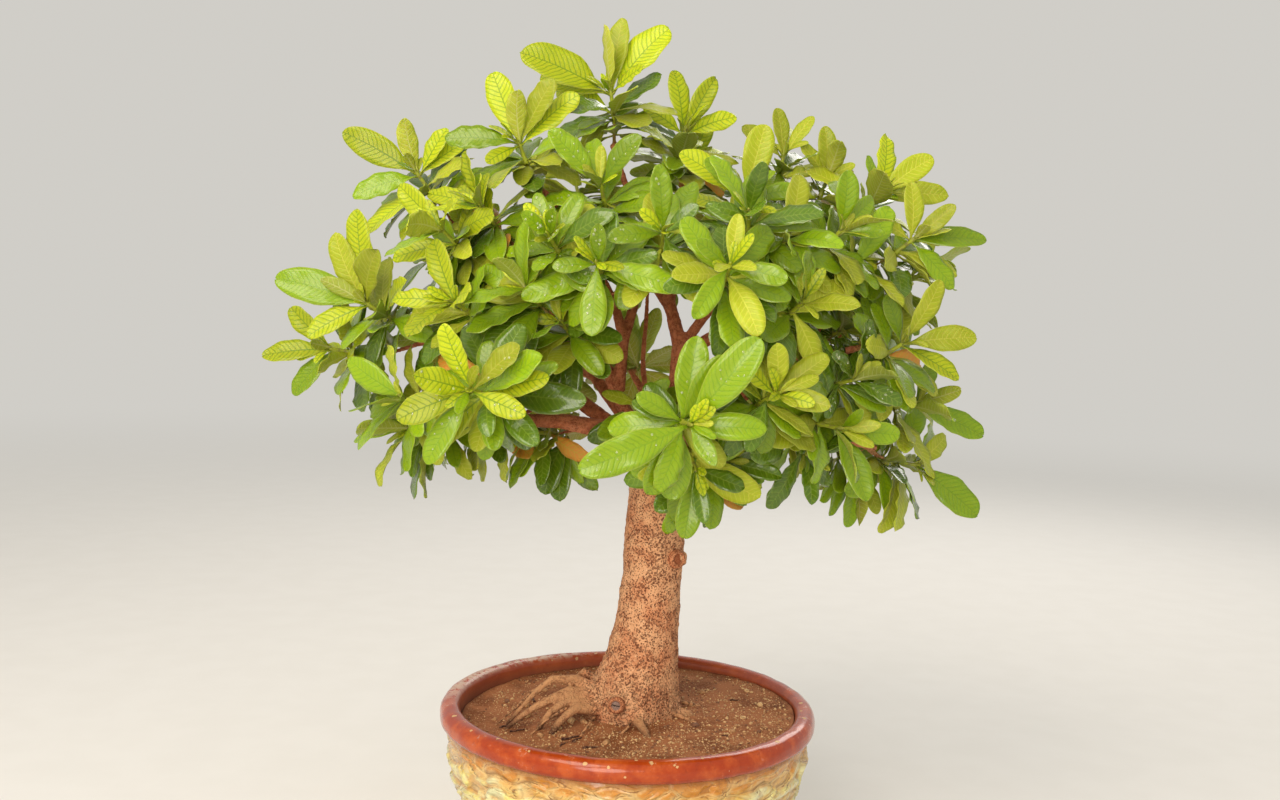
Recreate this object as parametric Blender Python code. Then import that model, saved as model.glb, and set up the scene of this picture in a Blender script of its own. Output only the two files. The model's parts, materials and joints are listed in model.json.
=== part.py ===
"""Broad-leaved bonsai, informal upright, in a round glazed bowl.

The tree is about 0.64 m tall above its soil and 0.67 m across. The bowl is 0.35 m across its rim.
Frame: +X to the right and +Y away from the tree's front, +Z up, origin at the centre of the bowl's base.

The bowl, the soil and the wood are one solid each. Every leafy shoot is one more, and it stands on the
end of its own twig. The leaves of a shoot grow out of the facets of its stem, so no union is needed there,
and each leaf tries a few poses until it is clear of the wood and of all the leaves set before it.
"""

import itertools
import math
import random
from dataclasses import dataclass

import bmesh
import bpy
from mathutils import Matrix, Vector, geometry
from mathutils.bvhtree import BVHTree

MM = 0.001
UP = Vector((0, 0, 1))
SHARP_ANGLE = math.radians(50)

# Bowl and soil
BOWL_SIDES = 30
FLOOR_THICKNESS = 0.014
DRAIN_RADIUS = 0.007
DRAIN_DISTANCE = 0.055
TOUCH_GAP = 0.0004
SOIL_LEVEL = 0.1545
SOIL_SLOPE = 0.04
MOUND_HEIGHT, MOUND_REACH, RIPPLE_HEIGHT = 0.0025, 0.07, 0.0008
SOIL_RINGS = (1.0, 0.72, 0.48)

# The bowl's outline as radius and height in mm: from the middle of its base up its outside and over the
# rim, then down its inside
BOWL_OUTLINE = (
    (0, 0), (108, 0), (124, 21), (145, 51), (161, 84), (169, 112), (171.5, 143), (169.5, 148),
    (174.5, 150), (176.5, 155), (175.5, 162), (170.5, 168), (162, 168),
)
BOWL_INSIDE = ((158, 162), (157, 116), (140, 60), (104, 14))

# Trunk: height, centre x, centre y, radius in mm, from the plug in the soil up to the crotch of the limbs
TRUNK_SIDES = 14
TRUNK = (
    (118, 4, -2, 30), (150, 4, -3, 43), (164, 4, -3, 45), (184, 4.5, -2, 41.5),
    (212, 11, 0, 34), (244, 15, 0, 30), (284, 18, 0, 28), (324, 19, 0, 28.5),
    (362, 21, 0, 27), (392, 20, 0, 28), (416, 19, 2, 29), (432, 18, 4, 20),
)
# Waves round the trunk's outline: share of its radius, lobes, and where they start in radians. They are
# full at its foot and fall to their lesser share where the root flare ends.
TRUNK_WAVES = ((0.05, 3, 0.6), (0.035, 5, 2.1))
WAVES_ABOVE_FLARE, FLARE_FALL = 0.35, 2.2
KNOTS = (((42, -12, 307), 10), ((-10, -43, 176), 8), ((40, -8, 392), 9))

# Roots that show on the soil, from the trunk outwards: route in mm, first and last radius in mm
ROOTS = {
    "left_arch": (
        [(-22, -8, 176), (-50, -14, 189), (-72, -19, 190), (-86, -24, 179), (-112, -34, 150)], 6.5, 2,
    ),
    "left_long": (
        [(-22, -16, 174), (-55, -25, 181), (-74, -33, 174), (-92, -40, 165), (-112, -46, 149)], 7, 2.2,
    ),
    "left_short": ([(-20, -22, 168), (-56, -33, 174), (-71, -43, 166), (-84, -52, 148)], 6.5, 2.4),
    "left_front": ([(-18, -26, 164), (-48, -40, 170), (-62, -52, 160), (-72, -64, 147)], 6.5, 2.6),
    "left_back": ([(-20, 4, 176), (-44, 10, 190), (-53, 15, 180), (-60, 22, 148)], 5, 2.2),
    "front": ([(2, -24, 164), (9, -50, 163), (17, -66, 158), (24, -86, 147)], 6.5, 2.6),
    "right": ([(28, -6, 160), (56, -14, 159), (76, -22, 148)], 8, 3),
    "back": ([(0, 22, 162), (10, 52, 160), (16, 76, 147)], 8, 3),
}

# Limbs: route in mm from the trunk outwards, first and last radius in mm
LIMB_SIDES = 6
LIMBS = {
    "left_low": (
        [(18, -2, 398), (-30, -12, 426), (-72, -22, 433), (-117, -32, 433), (-160, -60, 434)], 11, 4,
    ),
    "left_mid": ([(16, 8, 400), (-47, 26, 442), (-102, 20, 480), (-160, 0, 499), (-214, -18, 512)], 9, 3.5),
    "stem_left": (
        [(16, -4, 404), (-17, -14, 452), (-36, -24, 498), (-54, -40, 524), (-80, -62, 560)], 7.5, 3,
    ),
    "leader": (
        [(-18, -15, 462), (-15, -20, 510), (-5, -15, 547), (-3, -6, 592), (-16, 2, 645), (-32, 0, 688)], 6, 2.8,
    ),
    "second_leader": (
        [(-15, -20, 508), (-25, -30, 545), (-38, -36, 566), (-60, -40, 607), (-90, -40, 640)], 5, 2.8,
    ),
    "right_stem": (
        [(20, 4, 404), (36, 9, 462), (37, 6, 505), (26, 11, 545), (30, 20, 600), (36, 16, 660)], 11, 3,
    ),
    "right_fork": ([(37, 6, 500), (56, 0, 529), (80, -30, 563), (93, -60, 596)], 6, 3),
    "right_high": ([(37, 8, 474), (58, 4, 508), (88, 10, 527), (130, 20, 556), (180, 20, 605)], 7.5, 3),
    "right_mid": ([(22, -6, 402), (70, -24, 444), (118, -30, 478), (160, -36, 500), (205, -44, 512)], 8, 3.2),
    "right_low": ([(20, -8, 398), (70, -38, 427), (114, -52, 438), (170, -44, 432), (222, -8, 416)], 9, 3.4),
    "front": ([(20, -10, 402), (34, -52, 424), (38, -96, 428), (42, -140, 436)], 6.5, 3),
    "back_left": ([(14, 12, 404), (-30, 60, 452), (-74, 104, 506), (-108, 140, 556)], 8.5, 3.2),
    "back_right": ([(24, 12, 404), (64, 58, 448), (104, 102, 500), (140, 140, 548)], 8.5, 3.2),
    "back_low": ([(18, 14, 400), (16, 76, 428), (4, 132, 452), (-10, 176, 470)], 7, 3),
}

# Twigs: how they pick their start, how far their bow runs straight at either end, and how thick they are
START_COST, ALONG_BONUS, AXIS_COST = 1.6, 0.8, 1.7
SHORTEST_TWIG, SHORT_TWIG = 0.016, 0.08
LEAVING_SHARE, ARRIVING_SHARE = 0.3, 0.35
TWIG_TO_LIMB, TWIG_THICKNESS, TWIG_TAPER = 0.9, 0.0023, 0.017

# Shoots: place of the upper whorl in mm, leaves, leaf length in mm, turn of the whorl in degrees, and age of
# the leaves, where 0 is fresh lime green and 1 old dark green. Those that show best come first, so they have
# first choice of room for their leaves.
SHOOTS = {
    "front_wet": ((40, -205, 452), 5, 77, 0, 0.45),
    "front_left": ((-132, -176, 470), 8, 64, 10, 0.0),
    "front_star": ((68, -186, 574), 8, 62, 40, 0.35),
    "front_middle": ((-36, -158, 574), 8, 64, 30, 0.5),
    "front_cross": ((16, -148, 600), 8, 57, 0, 0.5),
    "front_right": ((110, -168, 474), 8, 55, 70, 0.15),
    "front_hanging": ((48, -116, 412), 6, 68, 20, 0.6),
    "top": ((-34, 0, 731), 9, 73, 0, 0.1),
    "top_left": ((-112, -40, 678), 8, 73, 50, 0.15),
    "far_left_high": ((-208, 0, 652), 8, 66, 20, 0.15),
    "far_left": ((-244, -38, 533), 9, 70, 0, 0.05),
    "far_left_low": ((-286, 10, 490), 8, 66, 90, 0.2),
    "right_tips": ((230, -58, 514), 8, 68, 0, 0.25),
    "far_right_high": ((238, -38, 606), 8, 66, 30, 0.2),
    "right_crest": ((216, 20, 648), 8, 68, 10, 0.2),
    "far_right_low": ((256, 10, 456), 8, 70, 40, 0.3),
    "right_skirt": ((260, 14, 400), 8, 70, 80, 0.3),
    "crest_right": ((88, -66, 636), 8, 68, 0, 0.2),
    "crest_middle": ((34, 10, 698), 8, 59, 100, 0.25),
    "crest_back_right": ((130, 50, 684), 8, 59, 60, 0.25),
    "dark_heart": ((86, -132, 618), 8, 53, 50, 0.9),
    "right_upright": ((166, -88, 608), 8, 57, 15, 0.3),
    "right_dark": ((184, -92, 484), 8, 48, 55, 1.0),
    "right_veined": ((168, -112, 444), 8, 64, 120, 0.35),
    "right_hanging": ((136, -66, 430), 8, 59, 35, 0.85),
    "right_under": ((208, 30, 394), 8, 55, 140, 0.6),
    "left_big": ((-122, -104, 466), 7, 73, 25, 0.9),
    "left_upper": ((-157, -104, 538), 8, 59, 45, 0.1),
    "left_inner": ((-95, -130, 552), 8, 59, 75, 0.4),
    "left_dark": ((-66, -108, 524), 8, 57, 130, 0.75),
    "left_pale": ((-76, -138, 594), 8, 46, 95, 0.3),
    "left_low": ((-206, -66, 452), 8, 62, 110, 0.35),
    "left_skirt": ((-204, -26, 422), 8, 59, 65, 0.4),
    "left_under": ((-160, 22, 426), 8, 57, 20, 0.6),
    "crown_front": ((-38, -78, 642), 8, 59, 85, 0.35),
    "crown_left": ((-142, -62, 622), 8, 53, 33, 0.2),
    "shoulder_left": ((-174, -74, 600), 8, 59, 140, 0.25),
    "shoulder_right": ((118, -122, 600), 8, 57, 10, 0.4),
    "right_inner": ((132, -134, 548), 8, 55, 62, 0.55),
    "right_shoulder": ((184, -62, 580), 8, 59, 105, 0.6),
    "right_back_edge": ((256, 44, 574), 8, 62, 22, 0.35),
    "crest_far": ((172, 44, 664), 8, 53, 77, 0.25),
    "trunk_shoot": ((6, -22, 440), 4, 48, 50, 0.4),
    "under_middle": ((74, -86, 408), 7, 55, 15, 0.85),
    "under_left": ((-98, -6, 420), 7, 57, 48, 0.7),
    "right_gap": ((196, -18, 532), 8, 55, 31, 0.6),
    "back_top": ((-70, 92, 660), 9, 64, 12, 0.2),
    "back_crest": ((44, 96, 676), 9, 64, 64, 0.25),
    "back_left_high": ((-168, 92, 588), 9, 64, 110, 0.25),
    "back_left_mid": ((-192, 92, 500), 9, 64, 42, 0.3),
    "back_left_low": ((-116, 176, 470), 9, 62, 71, 0.35),
    "back_left_far": ((-96, 180, 574), 9, 64, 5, 0.2),
    "back_middle": ((6, 196, 604), 9, 64, 88, 0.3),
    "back_right_far": ((108, 176, 584), 9, 64, 27, 0.25),
    "back_right_low": ((136, 166, 470), 9, 62, 53, 0.35),
    "back_right_mid": ((206, 104, 510), 9, 64, 99, 0.3),
    "back_low": ((-4, 214, 482), 9, 62, 18, 0.4),
}

# Leaves that stand out from the front: where each reaches from its shoot, in mm to the right, away and up
LEADING_LEAVES = {
    "crest_far": ((-4, 0, 48), (24, 0, 14), (-26, -8, 32)),
    "front_wet": ((-84, -22, -36), (52, -16, 68), (20, -22, -28), (28, -8, -6)),
    "front_left": (
        (-33, -12, -58), (-56, -8, -24), (-52, -15, 14),
        (44, -14, -16), (-21, -22, 52), (22, -20, 45),
    ),
    "front_star": ((44, -14, -8), (-26, -18, -40), (-30, -15, 17), (6, -6, 42)),
    "front_middle": ((66, -14, -16), (-2, -22, -56), (-34, -6, -8), (0, -20, 30)),
    "front_cross": ((-44, -14, -6), (26, -8, 24), (-6, -16, 52), (14, -8, -36)),
    "front_right": ((42, -14, -6), (-32, -12, 26), (28, -4, -16), (-9, -20, 43), (22, -8, 20)),
    "front_hanging": ((-6, -10, -60), (9, 2, -46), (-46, -18, -8), (42, -4, -16)),
    "top": ((-82, -8, 34), (50, 4, 62), (8, 6, 68), (-54, 8, 46), (28, -26, 20), (-14, -8, 58)),
    "top_left": ((-26, 8, 62), (20, -14, 58), (-58, -8, 30), (50, 0, 46), (-36, -20, 2), (-10, -22, 44)),
    "far_left_high": ((-68, 0, 36), (-58, -8, -22), (42, 6, 32), (-22, -14, 44), (18, -4, 46)),
    "far_left": ((-12, -4, 84), (-82, 0, 20), (-56, -18, -12), (-46, 6, 50), (16, -14, 62), (-40, -16, 14)),
    "far_left_low": ((-64, 0, -8), (-46, -10, -30), (-38, 0, 36), (-20, -20, 8)),
    "right_tips": ((64, 2, 8), (52, -14, -20), (-18, -12, 42), (30, -4, 56), (4, 8, 54)),
    "far_right_high": ((66, 4, 2), (40, 0, -40), (-28, -16, 14), (32, -6, 34), (14, 2, 52)),
    "right_crest": ((66, 0, 4), (50, 6, 38), (-12, -12, 36), (28, 0, 58), (6, 8, 60)),
    "far_right_low": ((66, 0, -26), (44, -12, 12), (30, 4, 38)),
    "right_skirt": ((62, 0, -46), (52, 6, 22), (58, -8, -20)),
    "crest_right": ((44, 2, 10), (-58, 2, 38), (-42, -18, 22), (10, -16, 60)),
    "crest_middle": ((26, 6, 52), (-2, -2, 58), (-28, -8, 34), (44, 4, 26)),
    "crest_back_right": ((0, 2, 46), (26, 0, 38), (-34, 0, 34)),
    "dark_heart": ((5, -26, 38), (-26, -16, 6)),
    "right_upright": ((38, -4, 2), (2, -16, 50)),
    "right_veined": ((26, -18, -58), (34, -8, 4)),
    "right_hanging": ((-28, -4, -52), (8, -14, -44), (20, 2, -50)),
    "right_under": ((-4, 0, -58), (26, 2, -42)),
    "left_big": ((78, -18, -4), (-10, -10, -48), (40, -4, -44)),
    "left_pale": ((4, -24, 20), (-30, -10, 10)),
    "trunk_shoot": ((20, -14, 26), (-34, -10, 10)),
    "under_middle": ((36, -8, -14), (10, -8, 34)),
}

SEED = 7
YOUNG_BELOW, OLD_FROM = 0.3, 0.7
CROWN_HEART = Vector((15, 0, 455)) * MM
HEART_LIFT = 0.045
FRONT_LEAN = 0.3
FRONT_DEPTH = 0.06
LIGHT_RISE, FRONT_LIGHT_SPREAD, FRONT_LIGHT_SHARE = 0.3, 0.3, 0.6
LEADING_PER_RING, MOST_PER_RING = 3, 5
SLIDE_STEP = 0.003
RING_WEIGHT = 25
TWIG_SIDES = 5
STEM_RADIUS = 0.0019
STEM_FOOT = 0.006
RING_HEIGHT = 0.0026
INTERNODE = 0.015
BUD_LENGTH = 0.005
LOWER_ANGLES, UPPER_ANGLES = (68, 98), (30, 64)
NARROWEST, WIDEST = 22, 108
BENDS, LEADING_BENDS, ROLLS, TWISTS = (14, 44), (10, 26), (-24, 24), (-12, 12)
MOST_ROLL, LEADING_ROLL_SHARE, ROLL_SHARE = 62, 0.9, 0.55
STRAY_TURN, LEADING_STRAY = 15, 0.4
LENGTHS, BREADTHS = (0.84, 1.1), (0.9, 1.12)
LEAF_SLENDERNESS = 0.385
BLADE_THICKNESS = 0.00075
LEAF_CLEARANCE = 0.0006
BLADE_STATIONS = ((0.53, 0.96), (0.84, 0.83))
ROLL_DONE = 0.3
OWN_START = 0.07
KEEP_OFF_STEMS = 0.005
NEARBY, STEM_REACH = 1.2, 0.03
ROOM_ROUND_STEM = 0.004

# One can see through the crown's heart, where the limbs show: from this point in front of it, the broad
# part of no leaf covers this stretch of x and of z, both measured at the trunk
LOOK_FROM = Vector((0, -1250, 554)) * MM
OPENING_X, OPENING_Z = (-0.008, 0.046), (0.474, 0.556)
BROAD_PART = (0.45, 0.7, 1.0)

# How a leaf may turn round its shoot, swing and roll, in degrees, and shorten, to find a clear place
TURNS, SWINGS, MORE_ROLLS = (0, 10, -10, 20, -20, 32, -32), (0, 9, -9, 18, -18, 28, -28), (0, 28, -28)
POSES = sorted(itertools.product(TURNS, SWINGS, MORE_ROLLS), key=lambda pose: (sum(map(abs, pose)), pose))
SHORTER = (1.0, 0.86, 0.74)


def in_metres(route):
    return [Vector(point) * MM for point in route]


@dataclass
class Leaf:
    """A blade that bends in a circular arc and rolls round its rib. normal is its upper side at the foot."""

    foot: Vector
    along: Vector
    normal: Vector
    length: float
    width: float
    bend: float
    roll: float
    twist: float

    def spine(self, share):
        """(point, upper normal, right-hand side, direction) at this share of the length."""
        angle = self.bend * share
        reach = self.length * math.sin(angle) / self.bend
        drop = self.length * (1 - math.cos(angle)) / self.bend
        point = self.foot + self.along * reach - self.normal * drop
        along = self.along * math.cos(angle) - self.normal * math.sin(angle)
        normal = self.along * math.sin(angle) + self.normal * math.cos(angle)
        turned = self.roll * min(1, share / ROLL_DONE) + self.twist * share
        normal = Matrix.Rotation(turned, 3, along) @ normal
        return point, normal, along.cross(normal), along

    def row(self, share, width, lift, spread=0.0):
        """Right and left edge at this share, moved along the normal by lift and outwards by spread."""
        point, normal, side, _ = self.spine(share)
        half = self.width / 2 * width + spread
        return [point + normal * lift + side * half, point + normal * lift - side * half]

    def tip(self, lift, spread=0.0):
        point, normal, _, along = self.spine(1.0)
        return point + normal * lift + along * spread


def blade_faces(rows, tip):
    """Triangles of a blade through rows to its tip, as indices, with both of its faces split alike.

    A row is (right above, left above, right below, left below), and tip is (above, below). The foot is open.
    """
    faces = []
    for (r, l, r_low, l_low), (next_r, next_l, next_r_low, next_l_low) in zip(rows, rows[1:]):
        faces += [(r, next_r, l), (l, next_r, next_l)]
        faces += [(l_low, next_r_low, r_low), (next_l_low, next_r_low, l_low)]
        faces += [(r, r_low, next_r_low), (r, next_r_low, next_r)]
        faces += [(next_l, next_l_low, l_low), (next_l, l_low, l)]
    r, l, r_low, l_low = rows[-1]
    top, under = tip
    faces += [(r, top, l), (l_low, under, r_low)]
    faces += [(r, r_low, under), (r, under, top), (top, under, l_low), (top, l_low, l)]
    return faces


def blade_points(leaf, lift, spread=0.0):
    """Corners of the blade beyond its foot: four for each station, then two for the tip."""
    points = []
    for share, width in BLADE_STATIONS:
        points += leaf.row(share, width, lift, spread) + leaf.row(share, width, -lift, spread)
    return points + [leaf.tip(lift, spread), leaf.tip(-lift, spread)]


def blade_tree(foot, points):
    rows = [tuple(range(4 * n, 4 * n + 4)) for n in range(len(BLADE_STATIONS) + 1)]
    last = 4 * len(rows)
    return BVHTree.FromPolygons(foot + points, blade_faces(rows, (last, last + 1)))


def test_blade(leaf, start, clearance):
    """The leaf from this share of its length on, with this clearance all round, as triangles to test."""
    share, full = BLADE_STATIONS[0]
    narrow = 2 * STEM_RADIUS / leaf.width
    width = narrow + (full - narrow) * start / share
    lift = BLADE_THICKNESS / 2 + clearance
    foot = leaf.row(start, width, lift, clearance) + leaf.row(start, width, -lift, clearance)
    return blade_tree(foot, blade_points(leaf, lift, clearance))


def modelled_blade(leaf):
    """The leaf as it is modelled, as a tree of triangles, for the leaves after it to test against."""
    side = leaf.along.cross(leaf.normal) * STEM_RADIUS
    lift = leaf.normal * (RING_HEIGHT / 2)
    foot = [leaf.foot + lift * up + side * way for up in (1, -1) for way in (1, -1)]
    return blade_tree(foot, blade_points(leaf, BLADE_THICKNESS / 2))


def covers_opening(leaf):
    """Whether the broad part of the leaf stands before or behind the opening in the crown."""
    for share in BROAD_PART:
        point = leaf.spine(share)[0]
        scale = -LOOK_FROM.y / (point.y - LOOK_FROM.y)
        x, z = (LOOK_FROM.lerp(point, scale)[axis] for axis in (0, 2))
        if OPENING_X[0] < x < OPENING_X[1] and OPENING_Z[0] < z < OPENING_Z[1]:
            return True
    return False


class Crowd:
    """All that a new leaf has to stay clear of: the wood, the other shoots' stems and the leaves so far."""

    def __init__(self, wood, shoots):
        self.wood = wood
        self.stems = {shoot.name: (shoot.foot, shoot.stem_zone()) for shoot in shoots}
        self.leaves = []

    def add(self, leaf, owner):
        self.leaves.append((leaf.spine(0.5)[0], leaf.length / 2, owner, modelled_blade(leaf)))

    def has_room(self, leaf, owner):
        """Tests all of the leaf against other shoots, and all but its foot against its own and the wood."""
        if covers_opening(leaf):
            return False
        beyond = test_blade(leaf, OWN_START, LEAF_CLEARANCE / 2)
        if beyond.overlap(self.wood):
            return False
        whole = test_blade(leaf, 0.0, LEAF_CLEARANCE)
        middle, reach = leaf.spine(0.5)[0], leaf.length / 2
        for place, extent, other, tree in self.leaves:
            near = (middle - place).length < (reach + extent) * NEARBY
            if near and (beyond if other == owner else whole).overlap(tree):
                return False
        return not any(
            name != owner and (middle - place).length < reach * NEARBY + STEM_REACH and whole.overlap(zone)
            for name, (place, zone) in self.stems.items()
        )


class Shoot:
    """A short green stem on the end of a twig, with a lower and an upper whorl of leaves."""

    def __init__(self, name, place, count, leaf_mm, turn, age):
        self.name, self.age = name, age
        self.place = Vector(place) * MM
        self.leaf_length = leaf_mm * MM
        self.random = random.Random(f"{SEED} {name}")
        self.leading = [Vector(reach) * MM for reach in LEADING_LEAVES.get(name, ())]
        self.axis = (self.place - CROWN_HEART + UP * HEART_LIFT).normalized()
        outward = Vector((self.place.x, self.place.y, 0)).normalized()
        self.light = (outward + UP * LIGHT_RISE).normalized()
        self.leading_light = Vector((outward.x * FRONT_LIGHT_SPREAD, -1, LIGHT_RISE)).normalized()
        if self.place.y < FRONT_DEPTH:
            self.axis = (self.axis - Vector((0, FRONT_LEAN, 0))).normalized()
            self.light = (self.light + self.leading_light * FRONT_LIGHT_SHARE).normalized()
        if self.leading:
            middle = sum((reach.normalized() for reach in self.leading), Vector()) / len(self.leading)
            self.axis = (self.axis + middle).normalized()
        upright = (UP - self.axis * self.axis.z).normalized()
        self.across = Matrix.Rotation(math.radians(turn), 3, self.axis) @ upright
        self.sideways = self.axis.cross(self.across)
        self.upper = min(count, max(len(self.leading), (count + 1) // 2))
        self.lower = count - self.upper
        upper_rings = math.ceil(self.upper / (LEADING_PER_RING if self.leading else MOST_PER_RING))
        top = STEM_FOOT + RING_HEIGHT + INTERNODE
        self.rings = [STEM_FOOT] + [top + RING_HEIGHT * ring for ring in range(upper_rings)]
        self.foot = self.place - self.axis * top
        self.leaves = {}

    def slide_out(self):
        """Moves the shoot out along its own axis, away from a limb that it stands in."""
        self.foot += self.axis * SLIDE_STEP

    def radial(self, degrees):
        angle = math.radians(degrees)
        return self.across * math.cos(angle) + self.sideways * math.sin(angle)

    def corner(self, height, index, radius=STEM_RADIUS):
        """A corner of the five-sided stem. Facet n lies between corners n and n + 1 and faces 72 n."""
        return self.foot + self.axis * height + self.radial(72 * index - 36) * radius

    def stem_loops(self):
        """Corners of the stem: its foot on the twig, the lower whorl's ring and the upper whorl's rings."""
        heights = [TOUCH_GAP, STEM_FOOT, STEM_FOOT + RING_HEIGHT, *self.rings[1:]]
        heights.append(self.rings[-1] + RING_HEIGHT)
        return [[self.corner(height, n) for n in range(TWIG_SIDES)] for height in heights]

    def bud_tip(self):
        return self.foot + self.axis * (self.rings[-1] + RING_HEIGHT + BUD_LENGTH)

    def stem_zone(self):
        """A five-sided spindle round the stem that other shoots' leaves stay out of."""
        ends = (STEM_FOOT, self.rings[-1])
        points = [self.corner(height, n, KEEP_OFF_STEMS) for height in ends for n in range(5)]
        points += [self.foot - self.axis * STEM_FOOT, self.bud_tip()]
        faces = [(n, (n + 1) % 5, 5 + (n + 1) % 5, 5 + n) for n in range(5)]
        faces += [((n + 1) % 5, n, 10) for n in range(5)] + [(5 + n, 5 + (n + 1) % 5, 11) for n in range(5)]
        return BVHTree.FromPolygons(points, faces)

    def free_facets(self, rings):
        return [(ring, n) for ring in rings for n in range(TWIG_SIDES) if (ring, n) not in self.leaves]

    def nearest_facet(self, rings, turn, angle):
        """The free facet of these rings that faces this turn best. Leaves that stand out most go lowest."""
        wanted = rings[0] + (len(rings) - 1) * (1 - angle / 90)

        def misfit(place):
            ring, n = place
            return abs((turn - 72 * n + 180) % 360 - 180) + RING_WEIGHT * abs(ring - wanted)

        return min(self.free_facets(rings), key=misfit)

    def wishes(self):
        """(ring, facet, turn, angle from the stem, length, leads) of each leaf, the leading ones first."""
        upper = range(1, len(self.rings))
        for reach in self.leading:
            direction = reach.normalized()
            angle = math.degrees(math.acos(max(-1, min(1, direction.dot(self.axis)))))
            turn = math.degrees(math.atan2(direction.dot(self.sideways), direction.dot(self.across)))
            ring, facet = self.nearest_facet(upper, turn, angle)
            yield ring, facet, turn, max(NARROWEST, min(WIDEST, angle)), reach.length, True
        for rings, count, angles in (
            (upper, self.upper - len(self.leading), UPPER_ANGLES), (range(1), self.lower, LOWER_ANGLES),
        ):
            for _ in range(count):
                ring, facet = self.random.choice(self.free_facets(rings))
                turn = 72 * facet + self.random.uniform(-STRAY_TURN, STRAY_TURN)
                length = self.leaf_length * self.random.uniform(*LENGTHS)
                yield ring, facet, turn, self.random.uniform(*angles), length, False

    def leaf_at(self, ring, facet, turn, angle, length, shape):
        """A leaf whose tip lies this way from its foot, with its face rolled partly towards the light."""
        bend, breadth, light, share, more_roll, twist = shape
        radial, swing = self.radial(turn), math.radians(angle) - bend / 2
        along = self.axis * math.cos(swing) + radial * math.sin(swing)
        normal = self.axis * math.sin(swing) - radial * math.cos(swing)
        foot = self.foot + self.axis * (self.rings[ring] + RING_HEIGHT / 2)
        foot += self.radial(72 * facet) * STEM_RADIUS * math.cos(math.pi / TWIG_SIDES)
        roll = math.atan2(light.dot(along.cross(normal)), light.dot(normal))
        if abs(roll) > math.pi / 2:
            roll -= math.copysign(math.pi, roll)
        roll = max(-MOST_ROLL, min(MOST_ROLL, math.degrees(roll))) * share + more_roll
        width = LEAF_SLENDERNESS * length * breadth
        return Leaf(foot, along, normal, length, width, bend, math.radians(roll), twist)

    def grow_leaves(self, crowd):
        for ring, facet, turn, angle, length, leads in self.wishes():
            self.leaves[ring, facet] = None
            bend = math.radians(self.random.uniform(*(LEADING_BENDS if leads else BENDS)))
            twist, breadth = math.radians(self.random.uniform(*TWISTS)), self.random.uniform(*BREADTHS)
            light, share = (self.leading_light, LEADING_ROLL_SHARE) if leads else (self.light, ROLL_SHARE)
            stray = self.random.uniform(*ROLLS) * (LEADING_STRAY if leads else 1)
            for shorter in SHORTER:
                poses = (
                    self.leaf_at(
                        ring, facet, turn + more_turn, angle + more_swing, length * shorter,
                        (bend, breadth, light, share, stray + more_roll, twist),
                    )
                    for more_turn, more_swing, more_roll in POSES
                )
                leaf = next((leaf for leaf in poses if crowd.has_room(leaf, self.name)), None)
                if leaf:
                    self.leaves[ring, facet] = leaf
                    crowd.add(leaf, self.name)
                    break


class Branching:
    """The limbs, and the twigs that a rule grows from them and from each other to the foot of every shoot."""

    def __init__(self, shoots):
        self.lines = [tapered(*limb) for limb in LIMBS.values()]
        self.twigs = {}
        self.shoots = shoots
        for shoot in shoots:
            while self.crossed_by(shoot):
                shoot.slide_out()
        for shoot in sorted(shoots, key=lambda shoot: (shoot.foot - CROWN_HEART).length):
            self.twigs[shoot.name] = self.twig_to(shoot)
            self.lines.append(self.twigs[shoot.name])

    def crossed_by(self, shoot):
        """Whether a limb passes too near to this shoot's stem."""
        ends = shoot.foot, shoot.bud_tip()
        return any(
            gap_between(*ends, start, end) < radius + ROOM_ROUND_STEM
            for points, radii in self.lines
            for start, end, radius in zip(points, points[1:], radii)
        )

    def starts(self, shoot):
        """(cost, point, direction, radius) of the places where a twig to this shoot may start, best first."""
        found = []
        for points, radii in self.lines:
            for index in range(1, len(points)):
                along = (points[index] - points[index - 1]).normalized()
                for step in range(1, 4):
                    point = points[index - 1].lerp(points[index], step / 4)
                    gap = shoot.foot - point
                    way = gap.normalized()
                    cost = gap.length * (START_COST - way.dot(along) * ALONG_BONUS)
                    cost *= AXIS_COST - way.dot(shoot.axis)
                    if gap.length > SHORTEST_TWIG:
                        found.append((cost, point, along, radii[index]))
        return sorted(found, key=lambda start: start[0])

    def twig_to(self, shoot):
        """Centre points and radii of the twig that carries a shoot, ending along the shoot's own axis."""
        for _, start, along, radius in self.starts(shoot):
            points, radii = bowed(start, along, radius, shoot)
            others = [other for other in self.shoots if other is not shoot]
            if not any(
                gap_between(*piece, other.foot, other.bud_tip()) < ROOM_ROUND_STEM + radii[0]
                for other in others
                for piece in zip(points, points[1:])
            ):
                return points, radii


def bowed(start, along, radius, shoot):
    """A twig that leaves a line on its own way and bends to arrive along the shoot's axis."""
    span = (shoot.foot - start).length
    leaving, arriving = along * span * LEAVING_SHARE, shoot.axis * span * ARRIVING_SHARE
    bow = [start, start + leaving, shoot.foot - arriving, shoot.foot]
    steps = 2 if span < SHORT_TWIG else 3
    thick = min(radius * TWIG_TO_LIMB, TWIG_THICKNESS + span * TWIG_TAPER)
    points, radii = [], []
    for index in range(steps + 1):
        t = index / steps
        weights = ((1 - t) ** 3, 3 * t * (1 - t) ** 2, 3 * t * t * (1 - t), t**3)
        points.append(sum((point * weight for point, weight in zip(bow, weights)), Vector()))
        radii.append(thick + (STEM_RADIUS - thick) * t)
    return points, radii


def distance_to(point, start, end):
    """Distance from a point to the stretch from start to end."""
    share = (point - start).dot(end - start) / (end - start).length_squared
    return (point - start.lerp(end, max(0, min(1, share)))).length


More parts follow.
